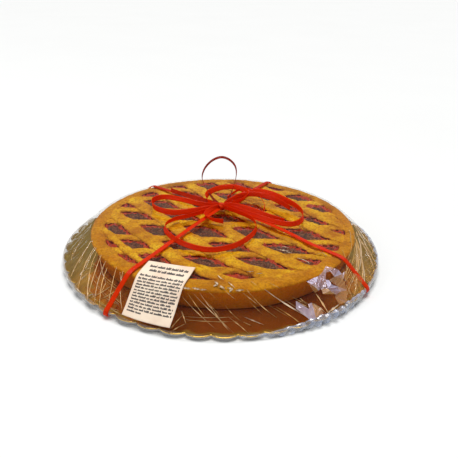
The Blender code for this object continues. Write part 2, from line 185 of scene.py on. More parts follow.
class Patch:
    """Collects grids of points, with a value for each point, into one mesh."""

    def __init__(self) -> None:
        """Start with nothing."""
        self.points: list[Array] = []
        self.faces: list[Array] = []
        self.values: dict[str, list[Array]] = {}
        self.count = 0

    def grid(self, points: Array, ring: bool = False, flip: bool = False,
             first_cap: bool = False, last_cap: bool = False, **values: Array) -> None:
        """Add a grid of points and the four-sided faces between them.

        Args:
            points: Array of rows, columns and three coordinates.
            ring: Whether the last column joins the first.
            flip: Whether to turn the faces round.
            first_cap: Whether one face closes the first row.
            last_cap: Whether one face closes the last row.
            values: Arrays of rows and columns, kept with the points under their names.
        """
        rows, columns = points.shape[:2]
        i, j = np.meshgrid(
            np.arange(rows - 1), np.arange(columns if ring else columns - 1), indexing="ij")
        k, m = i + 1, (j + 1) % columns
        quads = np.stack([i * columns + j, i * columns + m, k * columns + m, k * columns + j], -1)
        quads = quads.reshape(-1, 4) + self.count
        caps = []
        if first_cap:
            caps.append(np.arange(columns)[::-1] + self.count)
        if last_cap:
            caps.append(np.arange(columns) + (rows - 1) * columns + self.count)
        for faces in [quads] + [cap[None, :] for cap in caps]:
            self.faces.append(faces[:, ::-1] if flip else faces)
        self.points.append(points.reshape(-1, 3))
        for name in set(self.values) | set(values):
            known = self.values.setdefault(name, [np.zeros(self.count)] if self.count else [])
            own = values.get(name, np.zeros((rows, columns)))
            known.append(np.broadcast_to(own, (rows, columns)).ravel())
        self.count += rows * columns

    def build(self, name: str, material: bpy.types.Material) -> bpy.types.Object:
        """Make the mesh and its object, shaded smooth.

        Args:
            name: The object's name.
            material: Its only material.

        Returns:
            The object, linked to the scene, at the origin.
        """
        mesh = bpy.data.meshes.new(name)
        points = np.concatenate(self.points).astype(np.float32)
        mesh.vertices.add(len(points))
        mesh.vertices.foreach_set("co", points.ravel())
        sizes = np.concatenate([np.full(len(f), f.shape[1]) for f in self.faces])
        corners = np.concatenate([f.ravel() for f in self.faces])
        mesh.loops.add(len(corners))
        mesh.loops.foreach_set("vertex_index", corners.astype(np.int32))
        mesh.polygons.add(len(sizes))
        starts = np.concatenate([[0], np.cumsum(sizes)[:-1]])
        mesh.polygons.foreach_set("loop_start", starts.astype(np.int32))
        mesh.update(calc_edges=True)
        mesh.validate()
        for key, parts in self.values.items():
            layer = mesh.attributes.new(key, "FLOAT", "POINT")
            layer.data.foreach_set("value", np.concatenate(parts).astype(np.float32))
        mesh.shade_smooth()
        mesh.materials.append(material)
        item = bpy.data.objects.new(name, mesh)
        bpy.context.scene.collection.objects.link(item)
        return item


def turn_outwards(item: bpy.types.Object) -> None:
    """Turn the faces of a closed mesh so that they all point outwards.

    Args:
        item: The mesh's object.
    """
    build = bmesh.new()
    build.from_mesh(item.data)
    bmesh.ops.recalc_face_normals(build, faces=build.faces)
    build.to_mesh(item.data)
    build.free()


def install(item: bpy.types.Object, slot: str, *nodes: str, closed: bool = False) -> None:
    """Let a piece ride on the one body and hide the solids that it stands for.

    Args:
        item: The piece.
        slot: The material slot that it fills; not used.
        nodes: The solids that it stands for, none where it only adds detail.
        closed: Whether its faces all turn outwards.
    """
    if closed:
        turn_outwards(item)
    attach(item, "root")
    if nodes:
        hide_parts(*nodes)
    LOG.info("%s: %d faces", item.name, len(item.data.polygons))


def sharpen(item: bpy.types.Object, degrees: float) -> None:
    """Keep edges that bend by more than this sharp."""
    item.data.set_sharp_from_angle(angle=math.radians(degrees))


class Graph:
    """A material's node tree, with short calls for the nodes that the finishes share."""

    def __init__(self, name: str) -> None:
        """Make an empty material of this name."""
        self.material = bpy.data.materials.new(name)
        self.material.use_nodes = True
        self.tree = self.material.node_tree
        self.tree.nodes.clear()

    def node(self, kind: str, inputs: dict | None = None, **settings: object) -> bpy.types.Node:
        """Add a node.

        Args:
            kind: The node's type, without the leading ShaderNode.
            inputs: Values or sockets by the input's name or number.
            settings: Attributes of the node.

        Returns:
            The node.
        """
        made = self.tree.nodes.new("ShaderNode" + kind)
        for key, value in settings.items():
            setattr(made, key, value)
        for key, value in (inputs or {}).items():
            if isinstance(value, bpy.types.NodeSocket):
                self.tree.links.new(value, made.inputs[key])
            else:
                made.inputs[key].default_value = value
        return made

    def place(self) -> bpy.types.NodeSocket:
        """The piece's own coordinates, in metres."""
        return self.node("TexCoord").outputs["Object"]

    def value(self, name: str) -> bpy.types.NodeSocket:
        """A value that the mesh keeps for each point."""
        return self.node("Attribute", attribute_name=name).outputs["Fac"]

    def noise(self, scale: float, detail: float = 3.0, roughness: float = 0.55,
              distortion: float = 0.0,
              place: bpy.types.NodeSocket | None = None) -> bpy.types.NodeSocket:
        """Cloudy noise from 0 to 1 with `scale` lumps in a metre."""
        inputs = {"Vector": place or self.place(), "Scale": scale, "Detail": detail,
                  "Roughness": roughness, "Distortion": distortion}
        return self.node("TexNoise", inputs).outputs["Fac"]

    def turned(self, turn: float) -> bpy.types.NodeSocket:
        """The piece's coordinates, turned about Z."""
        inputs = {"Vector": self.place(), "Rotation": (0.0, 0.0, turn)}
        return self.node("Mapping", inputs).outputs["Vector"]

    def math(self, operation: str, first: object, second: object = 0.0,
             clamp: bool = False) -> bpy.types.NodeSocket:
        """One sum of two values."""
        return self.node(
            "Math", {0: first, 1: second}, operation=operation, use_clamp=clamp).outputs[0]

    def spread(self, value: bpy.types.NodeSocket, low: float, high: float,
               bottom: float = 0.0, top: float = 1.0) -> bpy.types.NodeSocket:
        """Map low..high to bottom..top, clamped."""
        inputs = {"Value": value, "From Min": low, "From Max": high, "To Min": bottom, "To Max": top}
        return self.node("MapRange", inputs, interpolation_type="SMOOTHSTEP").outputs["Result"]

    def ramp(self, value: bpy.types.NodeSocket, *stops: tuple[float, str]) -> bpy.types.NodeSocket:
        """Blend colours along a value.

        Args:
            value: The value, from 0 to 1.
            stops: Places from 0 to 1, each with its colour.

        Returns:
            The blended colour.
        """
        made = self.node("ValToRGB", {"Fac": value})
        band = made.color_ramp
        while len(band.elements) < len(stops):
            band.elements.new(0.5)
        for element, (position, code) in zip(band.elements, stops):
            element.position = position
            element.color = linear(code)
        return made.outputs["Color"]

    def mix(self, share: object, first: object, second: object) -> bpy.types.NodeSocket:
        """Blend two colours.

        Args:
            share: Share of the second colour, as a number or a socket.
            first: A colour's code or a socket.
            second: A colour's code or a socket.

        Returns:
            The blended colour.
        """
        first, second = (linear(c) if isinstance(c, str) else c for c in (first, second))
        inputs = {0: share, 6: first, 7: second}
        return self.node("Mix", inputs, data_type="RGBA", clamp_factor=True).outputs[2]

    def bump(self, height: bpy.types.NodeSocket, distance: float, strength: float = 1.0,
             normal: bpy.types.NodeSocket | None = None) -> bpy.types.NodeSocket:
        """Turn a height from 0 to 1 into a bent normal, with relief of `distance` metres."""
        inputs = {"Height": height, "Distance": distance, "Strength": strength}
        if normal is not None:
            inputs["Normal"] = normal
        return self.node("Bump", inputs).outputs["Normal"]

    def principled(self, **inputs: object) -> bpy.types.Node:
        """A Principled shader, with underscores in the names of inputs read as spaces."""
        named = {key.replace("_", " "): value for key, value in inputs.items()}
        return self.node("BsdfPrincipled", named)

    def finish(self, shader: bpy.types.Node) -> bpy.types.Material:
        """Join the shader to the output and return the material."""
        out = self.node("OutputMaterial")
        self.tree.links.new(shader.outputs[0], out.inputs["Surface"])
        return self.material


@dataclass(frozen=True)
class PastryFinish:
    """Baked shortcrust: golden and egg washed, toasted on its edges, stained where jam boiled up, with
    painted shade on the crust's wall and at its foot.
    """

    name: str
    pale: str
    golden: str
    deep: str
    crumb: str = "#8E4E02"
    toast: str = "#DA7208"
    stain: str = "#7A1A04"
    roughness: float = 0.55

    def make(self) -> bpy.types.Material:
        """Build the material from the values `toast` and `stain` of the mesh and layers of noise.

        Returns:
            The material.
        """
        g = Graph(self.name)
        broad = g.noise(48.0, 4.0, 0.6)
        mottled = g.noise(360.0, 4.0, 0.65)
        base = g.ramp(broad, (0.32, self.deep), (0.50, self.golden), (0.68, self.pale))
        base = g.mix(g.spread(mottled, 0.46, 0.64, 0.0, 0.70), base, self.deep)
        base = g.mix(g.spread(g.noise(900.0, 3.0), 0.54, 0.68, 0.0, 0.45), base, self.crumb)
        base = g.mix(g.spread(g.noise(700.0, 3.0, place=g.turned(0.7)), 0.55, 0.7, 0.0, 0.4),
                     base, self.pale)
        # toast: real toasting, and painted shade on the crust's wall
        toast = g.math("MULTIPLY", g.value("toast"), g.spread(g.noise(160.0, 4.0), 0.25, 0.75, 0.6, 1.0))
        base = g.mix(toast, base, self.toast)
        # stain: real jam stains, and painted shade at the crust wall's foot
        ragged = g.math("ADD", g.value("stain"), g.math("SUBTRACT", g.noise(420.0, 4.0, 0.7), 0.5))
        base = g.mix(g.spread(ragged, 0.42, 0.62), base, self.stain)
        lumps = g.bump(g.noise(230.0, 5.0, 0.62), 0.0034, 0.9)
        pores = g.bump(g.noise(900.0, 3.0, 0.6), 0.0010, 0.9, lumps)
        gloss = g.spread(mottled, 0.3, 0.7, self.roughness - 0.08, self.roughness + 0.14)
        shader = g.principled(
            Base_Color=base, Roughness=gloss, Normal=pores, Specular_IOR_Level=0.07)
        return g.finish(shader)


@dataclass(frozen=True)
class JamFinish:
    """Baked plum jam: dark and wrinkled, brighter red where it is thin beside the pastry."""

    dark: str = "#28120A"
    body: str = "#5E260E"
    light: str = "#A47242"
    edge: str = "#B83604"

    def make(self) -> bpy.types.Material:
        """Build the material from the mesh's value `rim`, which is 1 beside the pastry.

        Returns:
            The material.
        """
        g = Graph("jam")
        cloud = g.noise(170.0, 5.0, 0.62, 0.4)
        fine = g.noise(750.0, 4.0, 0.65, 0.8)
        base = g.ramp(cloud, (0.36, self.dark), (0.62, self.body))
        base = g.mix(g.spread(fine, 0.50, 0.64, 0.0, 0.8), base, self.light)
        spikes = g.math("MULTIPLY", g.math("SUBTRACT", g.noise(330.0, 4.0, 0.7), 0.5), 1.8)
        ragged = g.math("ADD", g.value("rim"), spikes)
        base = g.mix(g.spread(ragged, 0.32, 0.56), base, self.edge)
        wrinkles = g.bump(fine, 0.0008, 0.7)
        beads = g.node("TexVoronoi", {"Vector": g.place(), "Scale": 620.0}, feature="SMOOTH_F1")
        bubbles = g.bump(g.spread(beads.outputs["Distance"], 0.1, 0.5, 1.0, 0.0), 0.0005, 0.6, wrinkles)
        shader = g.principled(
            Base_Color=base, Roughness=0.28, Normal=bubbles, Specular_IOR_Level=0.16)
        return g.finish(shader)


@dataclass(frozen=True)
class BoardFinish:
    """Gold foil on grey card: the mesh's value `foil` is 1 on the foil and 0 on the card."""

    gold: str = "#D8AE44"
    worn: str = "#C69A38"
    card: str = "#A3A3A8"

    def make(self) -> bpy.types.Material:
        """Mix a metal foil with faint ripples and a plain card shader.

        Returns:
            The material.
        """
        g = Graph("gold_board")
        wear = g.noise(90.0, 5.0, 0.6)
        tone = g.mix(g.spread(wear, 0.35, 0.7), self.gold, self.worn)
        ripple = g.bump(g.noise(60.0, 2.0, 0.5), 0.0012, 0.35)
        fine = g.bump(g.noise(700.0, 3.0, 0.6), 0.00012, 0.4, ripple)
        gloss = g.spread(wear, 0.3, 0.75, 0.09, 0.18)
        foil = g.principled(Base_Color=tone, Metallic=1.0, Roughness=gloss, Normal=fine)
        pulp = g.noise(800.0, 4.0, 0.6)
        grey = g.ramp(pulp, (0.3, "#8E8E93"), (0.7, self.card))
        card = g.principled(
            Base_Color=grey, Roughness=0.75, Normal=g.bump(pulp, 0.0002, 0.3))
        both = g.node("MixShader", {0: g.value("foil"), 1: card.outputs[0], 2: foil.outputs[0]})
        return g.finish(both)


@dataclass(frozen=True)
class FilmFinish:
    """Clear film: see-through, with gloss that grows at a glancing angle and a faint milkiness.

    The mesh's value `haze` is the share of milky film, as where it lies in folds, and
    of painted sheen, milky colour that stands in for glints and reflections. `warm`
    is the share of its second colour, a painted reflection of the gold board and the crust. Fine folds
    catch light from above: `upright` is how far the milky film's normal turns towards straight up.
    """

    name: str
    tint: str = "#FFFFFF"
    milk_and_painted_sheen: str = "#D9D2CC"
    gloss: float = 0.010
    edge_gloss: float = 0.5
    roughness: float = 0.06
    warm: str = "#F2D9B4"
    upright: float = 0.0
    shine: float = 0.5
    ripple_scale: float = 130.0
    ripple_height: float = 0.0006
    ripple_strength: float = 0.35

    def make(self) -> bpy.types.Material:
        """Mix a clear shader, a glossy one by Fresnel and a milky one by `haze`.

        Returns:
            The material.
        """
        g = Graph(self.name)
        ripples = g.bump(
            g.noise(self.ripple_scale, 3.0, 0.5, 0.3), self.ripple_height, self.ripple_strength)
        clear = g.node("BsdfTransparent", {"Color": (0.985, 0.985, 0.98, 1.0)})
        gloss = g.node(
            "BsdfGlossy",
            {"Color": linear(self.tint), "Roughness": self.roughness, "Normal": ripples})
        facing = g.node("LayerWeight", {"Blend": 0.5, "Normal": ripples}).outputs["Facing"]
        grazing = g.math("POWER", facing, 4.5)
        share = g.math(
            "ADD", g.math("MULTIPLY", grazing, (1 - self.gloss) * self.edge_gloss), self.gloss,
            clamp=True)
        surface = g.node("MixShader", {0: share, 1: clear.outputs[0], 2: gloss.outputs[0]})
        # Painted reflection: the milky colour turns to the second colour by warm
        tone = g.mix(g.value("warm"), self.milk_and_painted_sheen, self.warm)
        own = g.node("VectorMath", {0: ripples, "Scale": 1 - self.upright}, operation="SCALE")
        turned = g.node(
            "VectorMath", {0: own.outputs[0], 1: (0.0, 0.0, self.upright)}, operation="ADD")
        bent = g.node("VectorMath", {0: turned.outputs[0]}, operation="NORMALIZE")
        milky = g.principled(
            Base_Color=tone, Roughness=0.3, Normal=bent.outputs[0], Specular_IOR_Level=self.shine)
        both = g.node("MixShader", {0: g.value("haze"), 1: surface.outputs[0], 2: milky.outputs[0]})
        return g.finish(both)


@dataclass(frozen=True)
class RibbonFinish:
    """Curling ribbon: glossy coloured plastic with fine ribs along it, lit through from behind.

    The mesh's value `shade` is the share of painted shade, darkest on the standing ring and the arms at
    the back.
    """

    body: str = "#FF4602"
    deep: str = "#E02A01"
    glow: str = "#FF6C0A"
    painted_shade: str = "#5C2A20"

    def make(self) -> bpy.types.Material:
        """Build ribs and streaks from the value `across`, from -1 to 1 over the ribbon's width.

        Returns:
            The material.
        """
        g = Graph("red_ribbon")
        across = g.value("across")
        ribs = g.math("SINE", g.math("MULTIPLY", across, 40.0))
        streak = g.noise(4.0, 3.0, 0.7, place=g.node(
            "CombineXYZ", {0: across, 1: g.math("MULTIPLY", g.value("along"), 12.0)}).outputs[0])
        tone = g.ramp(streak, (0.30, self.deep), (0.62, self.body))
        # Painted shade: strands with `shade` are darkened towards painted_shade
        tone = g.mix(g.value("shade"), tone, self.painted_shade)
        normal = g.bump(g.math("ADD", g.math("MULTIPLY", ribs, 0.5), 0.5), 0.00006, 0.7)
        shader = g.principled(
            Base_Color=tone, Roughness=0.22, Normal=normal, Specular_IOR_Level=0.15)
        through = g.node("BsdfTranslucent", {"Color": linear(self.glow)})
        both = g.node("MixShader", {0: 0.46, 1: shader.outputs[0], 2: through.outputs[0]})
        return g.finish(both)


@dataclass(frozen=True)
class PaperFinish:
    """Uncoated label paper, with faint fibres."""

    sheet: str = "#FFEAD0"
    shade: str = "#F6DAC0"

    def make(self) -> bpy.types.Material:
        """Build the material from two close tones and fibres.

        Returns:
            The material.
        """
        g = Graph("label_paper")
        fibres = g.noise(900.0, 4.0, 0.7)
        tone = g.ramp(g.noise(60.0, 3.0), (0.35, self.shade), (0.6, self.sheet))
        shader = g.principled(
            Base_Color=tone, Roughness=0.7, Normal=g.bump(fibres, 0.00008, 0.4),
            Specular_IOR_Level=0.3)
        return g.finish(shader)


@dataclass(frozen=True)
class InkFinish:
    """Dark print, slightly uneven."""

    ink: str = "#2E2A2C"
    faded: str = "#57504F"

    def make(self) -> bpy.types.Material:
        """Build the material."""
        g = Graph("label_ink")
        tone = g.ramp(g.noise(700.0, 3.0), (0.4, self.ink), (0.75, self.faded))
        return g.finish(g.principled(Base_Color=tone, Roughness=0.6))


@dataclass(frozen=True)
class FloorFinish:
    """A plain pale floor."""

    pale: str = "#F6F6F4"

    def make(self) -> bpy.types.Material:
        """Build the material."""
        g = Graph("floor")
        grain = g.noise(3.0, 2.0)
        tone = g.ramp(grain, (0.2, "#F4F4F2"), (0.8, self.pale))
        return g.finish(g.principled(Base_Color=tone, Roughness=0.85, Specular_IOR_Level=0.2))


@dataclass(frozen=True)
class Layout:
    """Places that the pieces share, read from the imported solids."""

    board_radius: float
    board_bottom: float
    board_top: float
    tart_base: float
    tart_x: float
    tart_y: float
    crest: float
    jam_top: float

    BOARD_THICKNESS = 0.0026

    @classmethod
    def read(cls) -> "Layout":
        """Measure the solids' boxes.

        Returns:
            The places that all pieces share.
        """
        board_low, board_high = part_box("board")
        crust_low, crust_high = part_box("crust")
        bottom = board_low[2]
        return cls(
            board_radius=round(board_high[1], 3),
            board_bottom=bottom,
            board_top=bottom + cls.BOARD_THICKNESS,
            tart_base=crust_low[2],
            tart_x=(crust_low[0] + crust_high[0]) / 2,
            tart_y=(crust_low[1] + crust_high[1]) / 2,
            crest=crust_high[2],
            jam_top=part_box("jam")[1][2],
        )


@dataclass
class Board:
    """The scalloped board: gold foil over the top and its rolled edge, grey card below."""

    layout: Layout
    scallops: int = 45
    scallop_depth: float = 0.004
    notch_azimuth: float = math.radians(267.5)
    steps_per_scallop: int = 16
    flat_radius: float = 0.137
    fold_radius: float = 0.146
    fold_rise: float = 0.0015
    edge_rise: float = 0.005
    lip_height: float = 0.00012
    lip_place: float = 0.962
    lip_width: float = 0.018
    roll_radius: float = 0.0006
    # Shares of the thickness where the foil thins out, where it ends and where the card rounds off
    foil_low: float = 0.66
    card_high: float = 0.58
    card_low: float = 0.04
    card_round: float = 0.0003
    ripple: float = 0.00012

    def rise(self, radius: Array, azimuth: Array) -> Array:
        """Height that the edge bends up by: a bent line in radius times cos^2 of the azimuth.

        Args:
            radius: Distance from the board's middle.
            azimuth: Azimuth in radians.

        Returns:
            The height at each place.
        """
        bend = np.interp(
            radius, [self.flat_radius, self.fold_radius, self.layout.board_radius],
            [0.0, self.fold_rise, self.edge_rise])
        return bend * np.cos(azimuth) ** 2

    def edge(self, azimuth: Array) -> Array:
        """Radius of the edge: R - depth (1 - sin(pi t)^0.7), with t from notch to notch."""
        between = ((azimuth - self.notch_azimuth) * self.scallops / math.tau) % 1.0
        rounded = np.clip(np.sin(math.pi * between), 0.0, 1.0) ** 0.7
        return self.layout.board_radius - self.scallop_depth * (1 - rounded)

    def build(self, finish: BoardFinish) -> None:
        """Make rings of points: out over the foil from the middle, round the edge and back below.

        Args:
            finish: The board's finish.
        """
        count = self.scallops * self.steps_per_scallop
        azimuth = self.notch_azimuth + np.arange(count) * (math.tau / count)
        edge = self.edge(azimuth)
        top, bottom = self.layout.board_top, self.layout.board_bottom
        thick = top - bottom
        shares = np.concatenate([np.linspace(0.2, 0.86, 12), np.linspace(0.88, 0.985, 10)])
        lip = self.lip_height * np.exp(-((shares - self.lip_place) / self.lip_width) ** 2)
        rings = [(edge * share, top - self.lip_height + bead, 1.0) for share, bead in zip(shares, lip)]
        for turn in np.linspace(0.1, 1.0, 6):
            angle = turn * math.pi / 2
            radius = edge - self.roll_radius * (1 - math.sin(angle))
            height = top - self.lip_height - self.roll_radius * (1 - math.cos(angle))
            rings.append((radius, height, 1.0))
        rings.append((edge, bottom + self.foil_low * thick, 0.6))
        rings.append((edge, bottom + self.card_high * thick, 0.0))
        rings.append((edge - self.card_round, bottom + self.card_low * thick, 0.0))
        rings += [(edge * share, bottom, 0.0) for share in (0.985, 0.93, 0.88, 0.84, 0.8, 0.2)]
        rows, foil = [], []
        grain = Grain(11)
        for radius, height, gold in rings:
            x, y = radius * np.cos(azimuth), radius * np.sin(azimuth)
            wave = self.ripple * grain.layers(x * 60, y * 60, 3) * (1 if gold else 0)
            rows.append(np.column_stack([x, y, height + wave + self.rise(radius, azimuth)]))
            foil.append(np.full(len(azimuth), gold))
        patch = Patch()
        patch.grid(np.array(rows), ring=True, first_cap=True, last_cap=True, foil=np.array(foil))
        install(patch.build("gold_board", finish.make()), "gold_board", "board", closed=True)


class Layer(Enum):
    """The two layers of the lattice."""

    UNDER = "under"
    OVER = "over"


@dataclass
class Lattice:
    """Fourteen strips of pastry in two layers; the upper ones ride over the lower ones."""

    layout: Layout
    over_azimuth: float = math.radians(-54.0)
    over_offsets: tuple[float, ...] = (-0.1095, -0.0815, -0.0455, -0.0065, 0.0325, 0.070, 0.099)
    over_halves: tuple[float, ...] = (0.0034, 0.0074, 0.0078, 0.0076, 0.0074, 0.0074, 0.0070)
    over_bends: tuple[float, ...] = (1.4, 5.6, 2.4, 1.6, 1.4, 1.4, 1.4)
    under_azimuth: float = math.radians(-2.5)
    under_offsets: tuple[float, ...] = (-0.0975, -0.0665, -0.0365, 0.0005, 0.0325, 0.065, 0.096)
    under_halves: tuple[float, ...] = (0.0046, 0.0050, 0.0054, 0.0056, 0.0055, 0.0055, 0.0055)
    end_radius: float = 0.1275
    tuck_radius: float = 0.1190
    # Heights over the tart's base, and how far a strip rises or sinks where it crosses another
    foot: float = 0.0182
    over_top: float = 0.0231
    under_top: float = 0.0227
    over_foot_rise: float = 0.0016
    crossing_rise: float = 0.0009
    # How far the ends sink under the rim, at the top and at the foot
    end_sink: float = 0.0012
    end_foot_sink: float = 0.0015
    # How far the sides swell beside another strip, and over what distance that fades
    fillet_width: float = 0.0013
    fillet_reach: float = 0.0024
    rim_fillet_reach: float = 0.0030
    steps: int = 312
    section: int = 32
    grain: Grain = field(default_factory=lambda: Grain(21))

    def families(self, layer: Layer) -> tuple:
        """Own azimuth, offsets and half widths of a layer."""
        if layer is Layer.OVER:
            return self.over_azimuth, self.over_offsets, self.over_halves
        return self.under_azimuth, self.under_offsets, self.under_halves

    def wander(self, layer: Layer, number: int, along: Array) -> tuple[Array, Array]:
        """How a strip's middle strays sideways and how its half width swells, both smooth noise.

        The upper strips also bend towards the right at their front ends, with the square of the way.

        Args:
            layer: The strip's layer.
            number: Its place in the layer, from 0.
            along: Distance along it from the tart's middle.

        Returns:
            The sideways stray and the factor on the half width, at each distance.
        """
        row = number * 9.7 + (40 if layer is Layer.OVER else 0)
        stray = 0.0011 * self.grain.at(along * 24, np.full_like(along, row))
        if layer is Layer.OVER:
            stray = stray + self.over_bends[number] * np.clip(along - 0.03, 0.0, None) ** 2
        swell = 1 + 0.12 * self.grain.layers(along * 60, np.full_like(along, row + 3), 3)
        return stray, swell

    def opening(self, azimuth: Array) -> Array:
        """Radius of the rim's inner edge: narrower at the front and wider everywhere else."""
        front, right = lobe(azimuth, 270, 52), lobe(azimuth, 5, 42)
        back, left = lobe(azimuth, 90, 58), lobe(azimuth, 180, 32)
        return 0.1218 - 0.0055 * front + 0.0034 * right + 0.0040 * back + 0.0012 * left

    def sides(self, layer: Layer, x: Array, y: Array) -> Array:
        """Distance from each point to the sides of a layer's nearest strip, negative under it.

        Args:
            layer: The layer.
            x: Distance to the right of the tart's middle.
            y: Distance behind it.

        Returns:
            The distance at each point.
        """
        azimuth, offsets, halves = self.families(layer)
        along = x * math.cos(azimuth) + y * math.sin(azimuth)
        place = -x * math.sin(azimuth) + y * math.cos(azimuth)
        best = np.full(np.shape(x), 1.0)
        for number, (offset, half) in enumerate(zip(offsets, halves)):
            stray, swell = self.wander(layer, number, along)
            best = np.minimum(best, np.abs(place - offset - stray) - half * swell)
        return best

    def nearness(self, x: Array, y: Array) -> Array:
        """Distance from each point to the nearest strip's side, negative under a strip.

        The places are measured from the tart's middle.
        """
        return np.minimum(self.sides(Layer.UNDER, x, y), self.sides(Layer.OVER, x, y))

    def fillet(self, layer: Layer, x: Array, y: Array) -> Array:
        """1 beside the other layer's strips, falling off over a few millimetres."""
        other = Layer.UNDER if layer is Layer.OVER else Layer.OVER
        near = np.exp(-np.clip(self.sides(other, x, y), 0, None) / self.fillet_reach)
        edge = np.clip(self.opening(np.arctan2(y, x)) - np.hypot(x, y), 0, None)
        return np.maximum(near, np.exp(-edge / self.rim_fillet_reach))

    def crossing(self, layer: Layer, x: Array, y: Array) -> Array:
        """1 where the other layer's strips lie, falling smoothly to 0 beside them."""
        other = Layer.UNDER if layer is Layer.OVER else Layer.OVER
        return 1 - smooth_step(-0.0015, 0.0075, self.sides(other, x, y))

    def strip(self, layer: Layer, number: int) -> Patch:
        """One strip: a rounded section carried along its line, with uneven sides and top.

        Above, the section is x = w sgn(cos a)|cos a|^0.6, z = h |sin a|^0.7. Below, its sides run
        straight down into the jam. The sides swell beside each strip that it crosses.

        Args:
            layer: The strip's layer.
            number: Its place in the layer, from 0.

        Returns:
            The strip, with the values `stain` and `toast`, here only real jam stains and toasting.
        """
        azimuth, offsets, halves = self.families(layer)
        offset, half = offsets[number], halves[number]
        reach = math.sqrt(self.end_radius ** 2 - min(abs(offset), 0.12) ** 2)
        along = np.linspace(-reach, reach, self.steps)[:, None]
        turn = (np.arange(self.section) / self.section * math.tau)[None, :]
        stray, swell = self.wander(layer, number, along)
        side = np.sign(np.cos(turn)) * np.abs(np.cos(turn)) ** 0.6
        lift = np.sign(np.sin(turn)) * np.abs(np.sin(turn)) ** 0.7
        side = np.where(lift < 0, np.clip(side * 3.0, -1.0, 1.0) * (1 - 0.03 * lift), side)
        mid_x = along * math.cos(azimuth) - (offset + side * half) * math.sin(azimuth)
        mid_y = along * math.sin(azimuth) + (offset + side * half) * math.cos(azimuth)
        corner = self.fillet(layer, mid_x, mid_y)
        lateral = offset + stray + side * (half * swell + self.fillet_width * corner)
        seed = number * 5.3 + (80 if layer is Layer.OVER else 0)
        nibble = 0.00060 * self.grain.layers(along * 230, side * 2 + seed, 4) * np.abs(side)
        lateral = lateral + np.sign(side) * nibble
        cut = np.sqrt(np.clip(self.end_radius ** 2 - lateral ** 2, 1e-6, None))
        forward = along / reach * cut
        x = forward * math.cos(azimuth) - lateral * math.sin(azimuth)
        y = forward * math.sin(azimuth) + lateral * math.cos(azimuth)
        covered = self.crossing(layer, x, y)
        base = self.layout.tart_base
        if layer is Layer.OVER:
            bottom = self.foot + self.over_foot_rise * covered
            top = self.over_top + self.crossing_rise * covered
        else:
            bottom = self.foot
            top = self.under_top - self.crossing_rise * covered
        radius = np.hypot(x, y)
        tuck = smooth_step(self.tuck_radius, self.end_radius, radius)
        top = top - self.end_sink * tuck ** 3
        bottom = bottom - self.end_foot_sink * tuck
        puff = 0.00042 * self.grain.layers(x * 90 + seed, y * 90, 3)
        puff += 0.00022 * self.grain.layers(x * 430, y * 430 + seed, 2)
        middle, thick = (top + bottom) / 2, (top - bottom) / 2
        z = base + middle + lift * thick + np.where(lift > 0, lift * puff, 0.0)
        points = np.stack([x + self.layout.tart_x, y + self.layout.tart_y, z], -1)
        low = 1 - smooth_step(-0.20, 0.62, lift * np.ones_like(x))
        spots = smooth_step(0.25, 0.85, self.grain.layers(x * 110, y * 110, 3))
        spots = 0.5 * spots * (np.abs(side) > 0.85) * (1 - smooth_step(0.2, 0.8, lift))
        stain = np.clip(low + spots, 0, 1) * (1 - covered) * (1 - tuck)
        toast = np.clip(0.5 * np.abs(side) ** 5 * (1 - covered) + 0.35 * tuck, 0, 1)
        patch = Patch()
        patch.grid(points, ring=True, first_cap=True, last_cap=True, flip=True,
                   stain=stain, toast=toast * np.ones_like(x))
        return patch

    def build(self, material: bpy.types.Material) -> None:
        """Make all the strips, each in place of its solid.

        Args:
            material: The pastry's material.
        """
        for layer in Layer:
            for number in range(len(self.families(layer)[1])):
                name = f"lattice_{layer.value}_{number + 1}"
                item = self.strip(layer, number).build(name, material)
                node = f"strip_{layer.value}_{number + 1}"
                install(item, "lattice_pastry", node, closed=True)


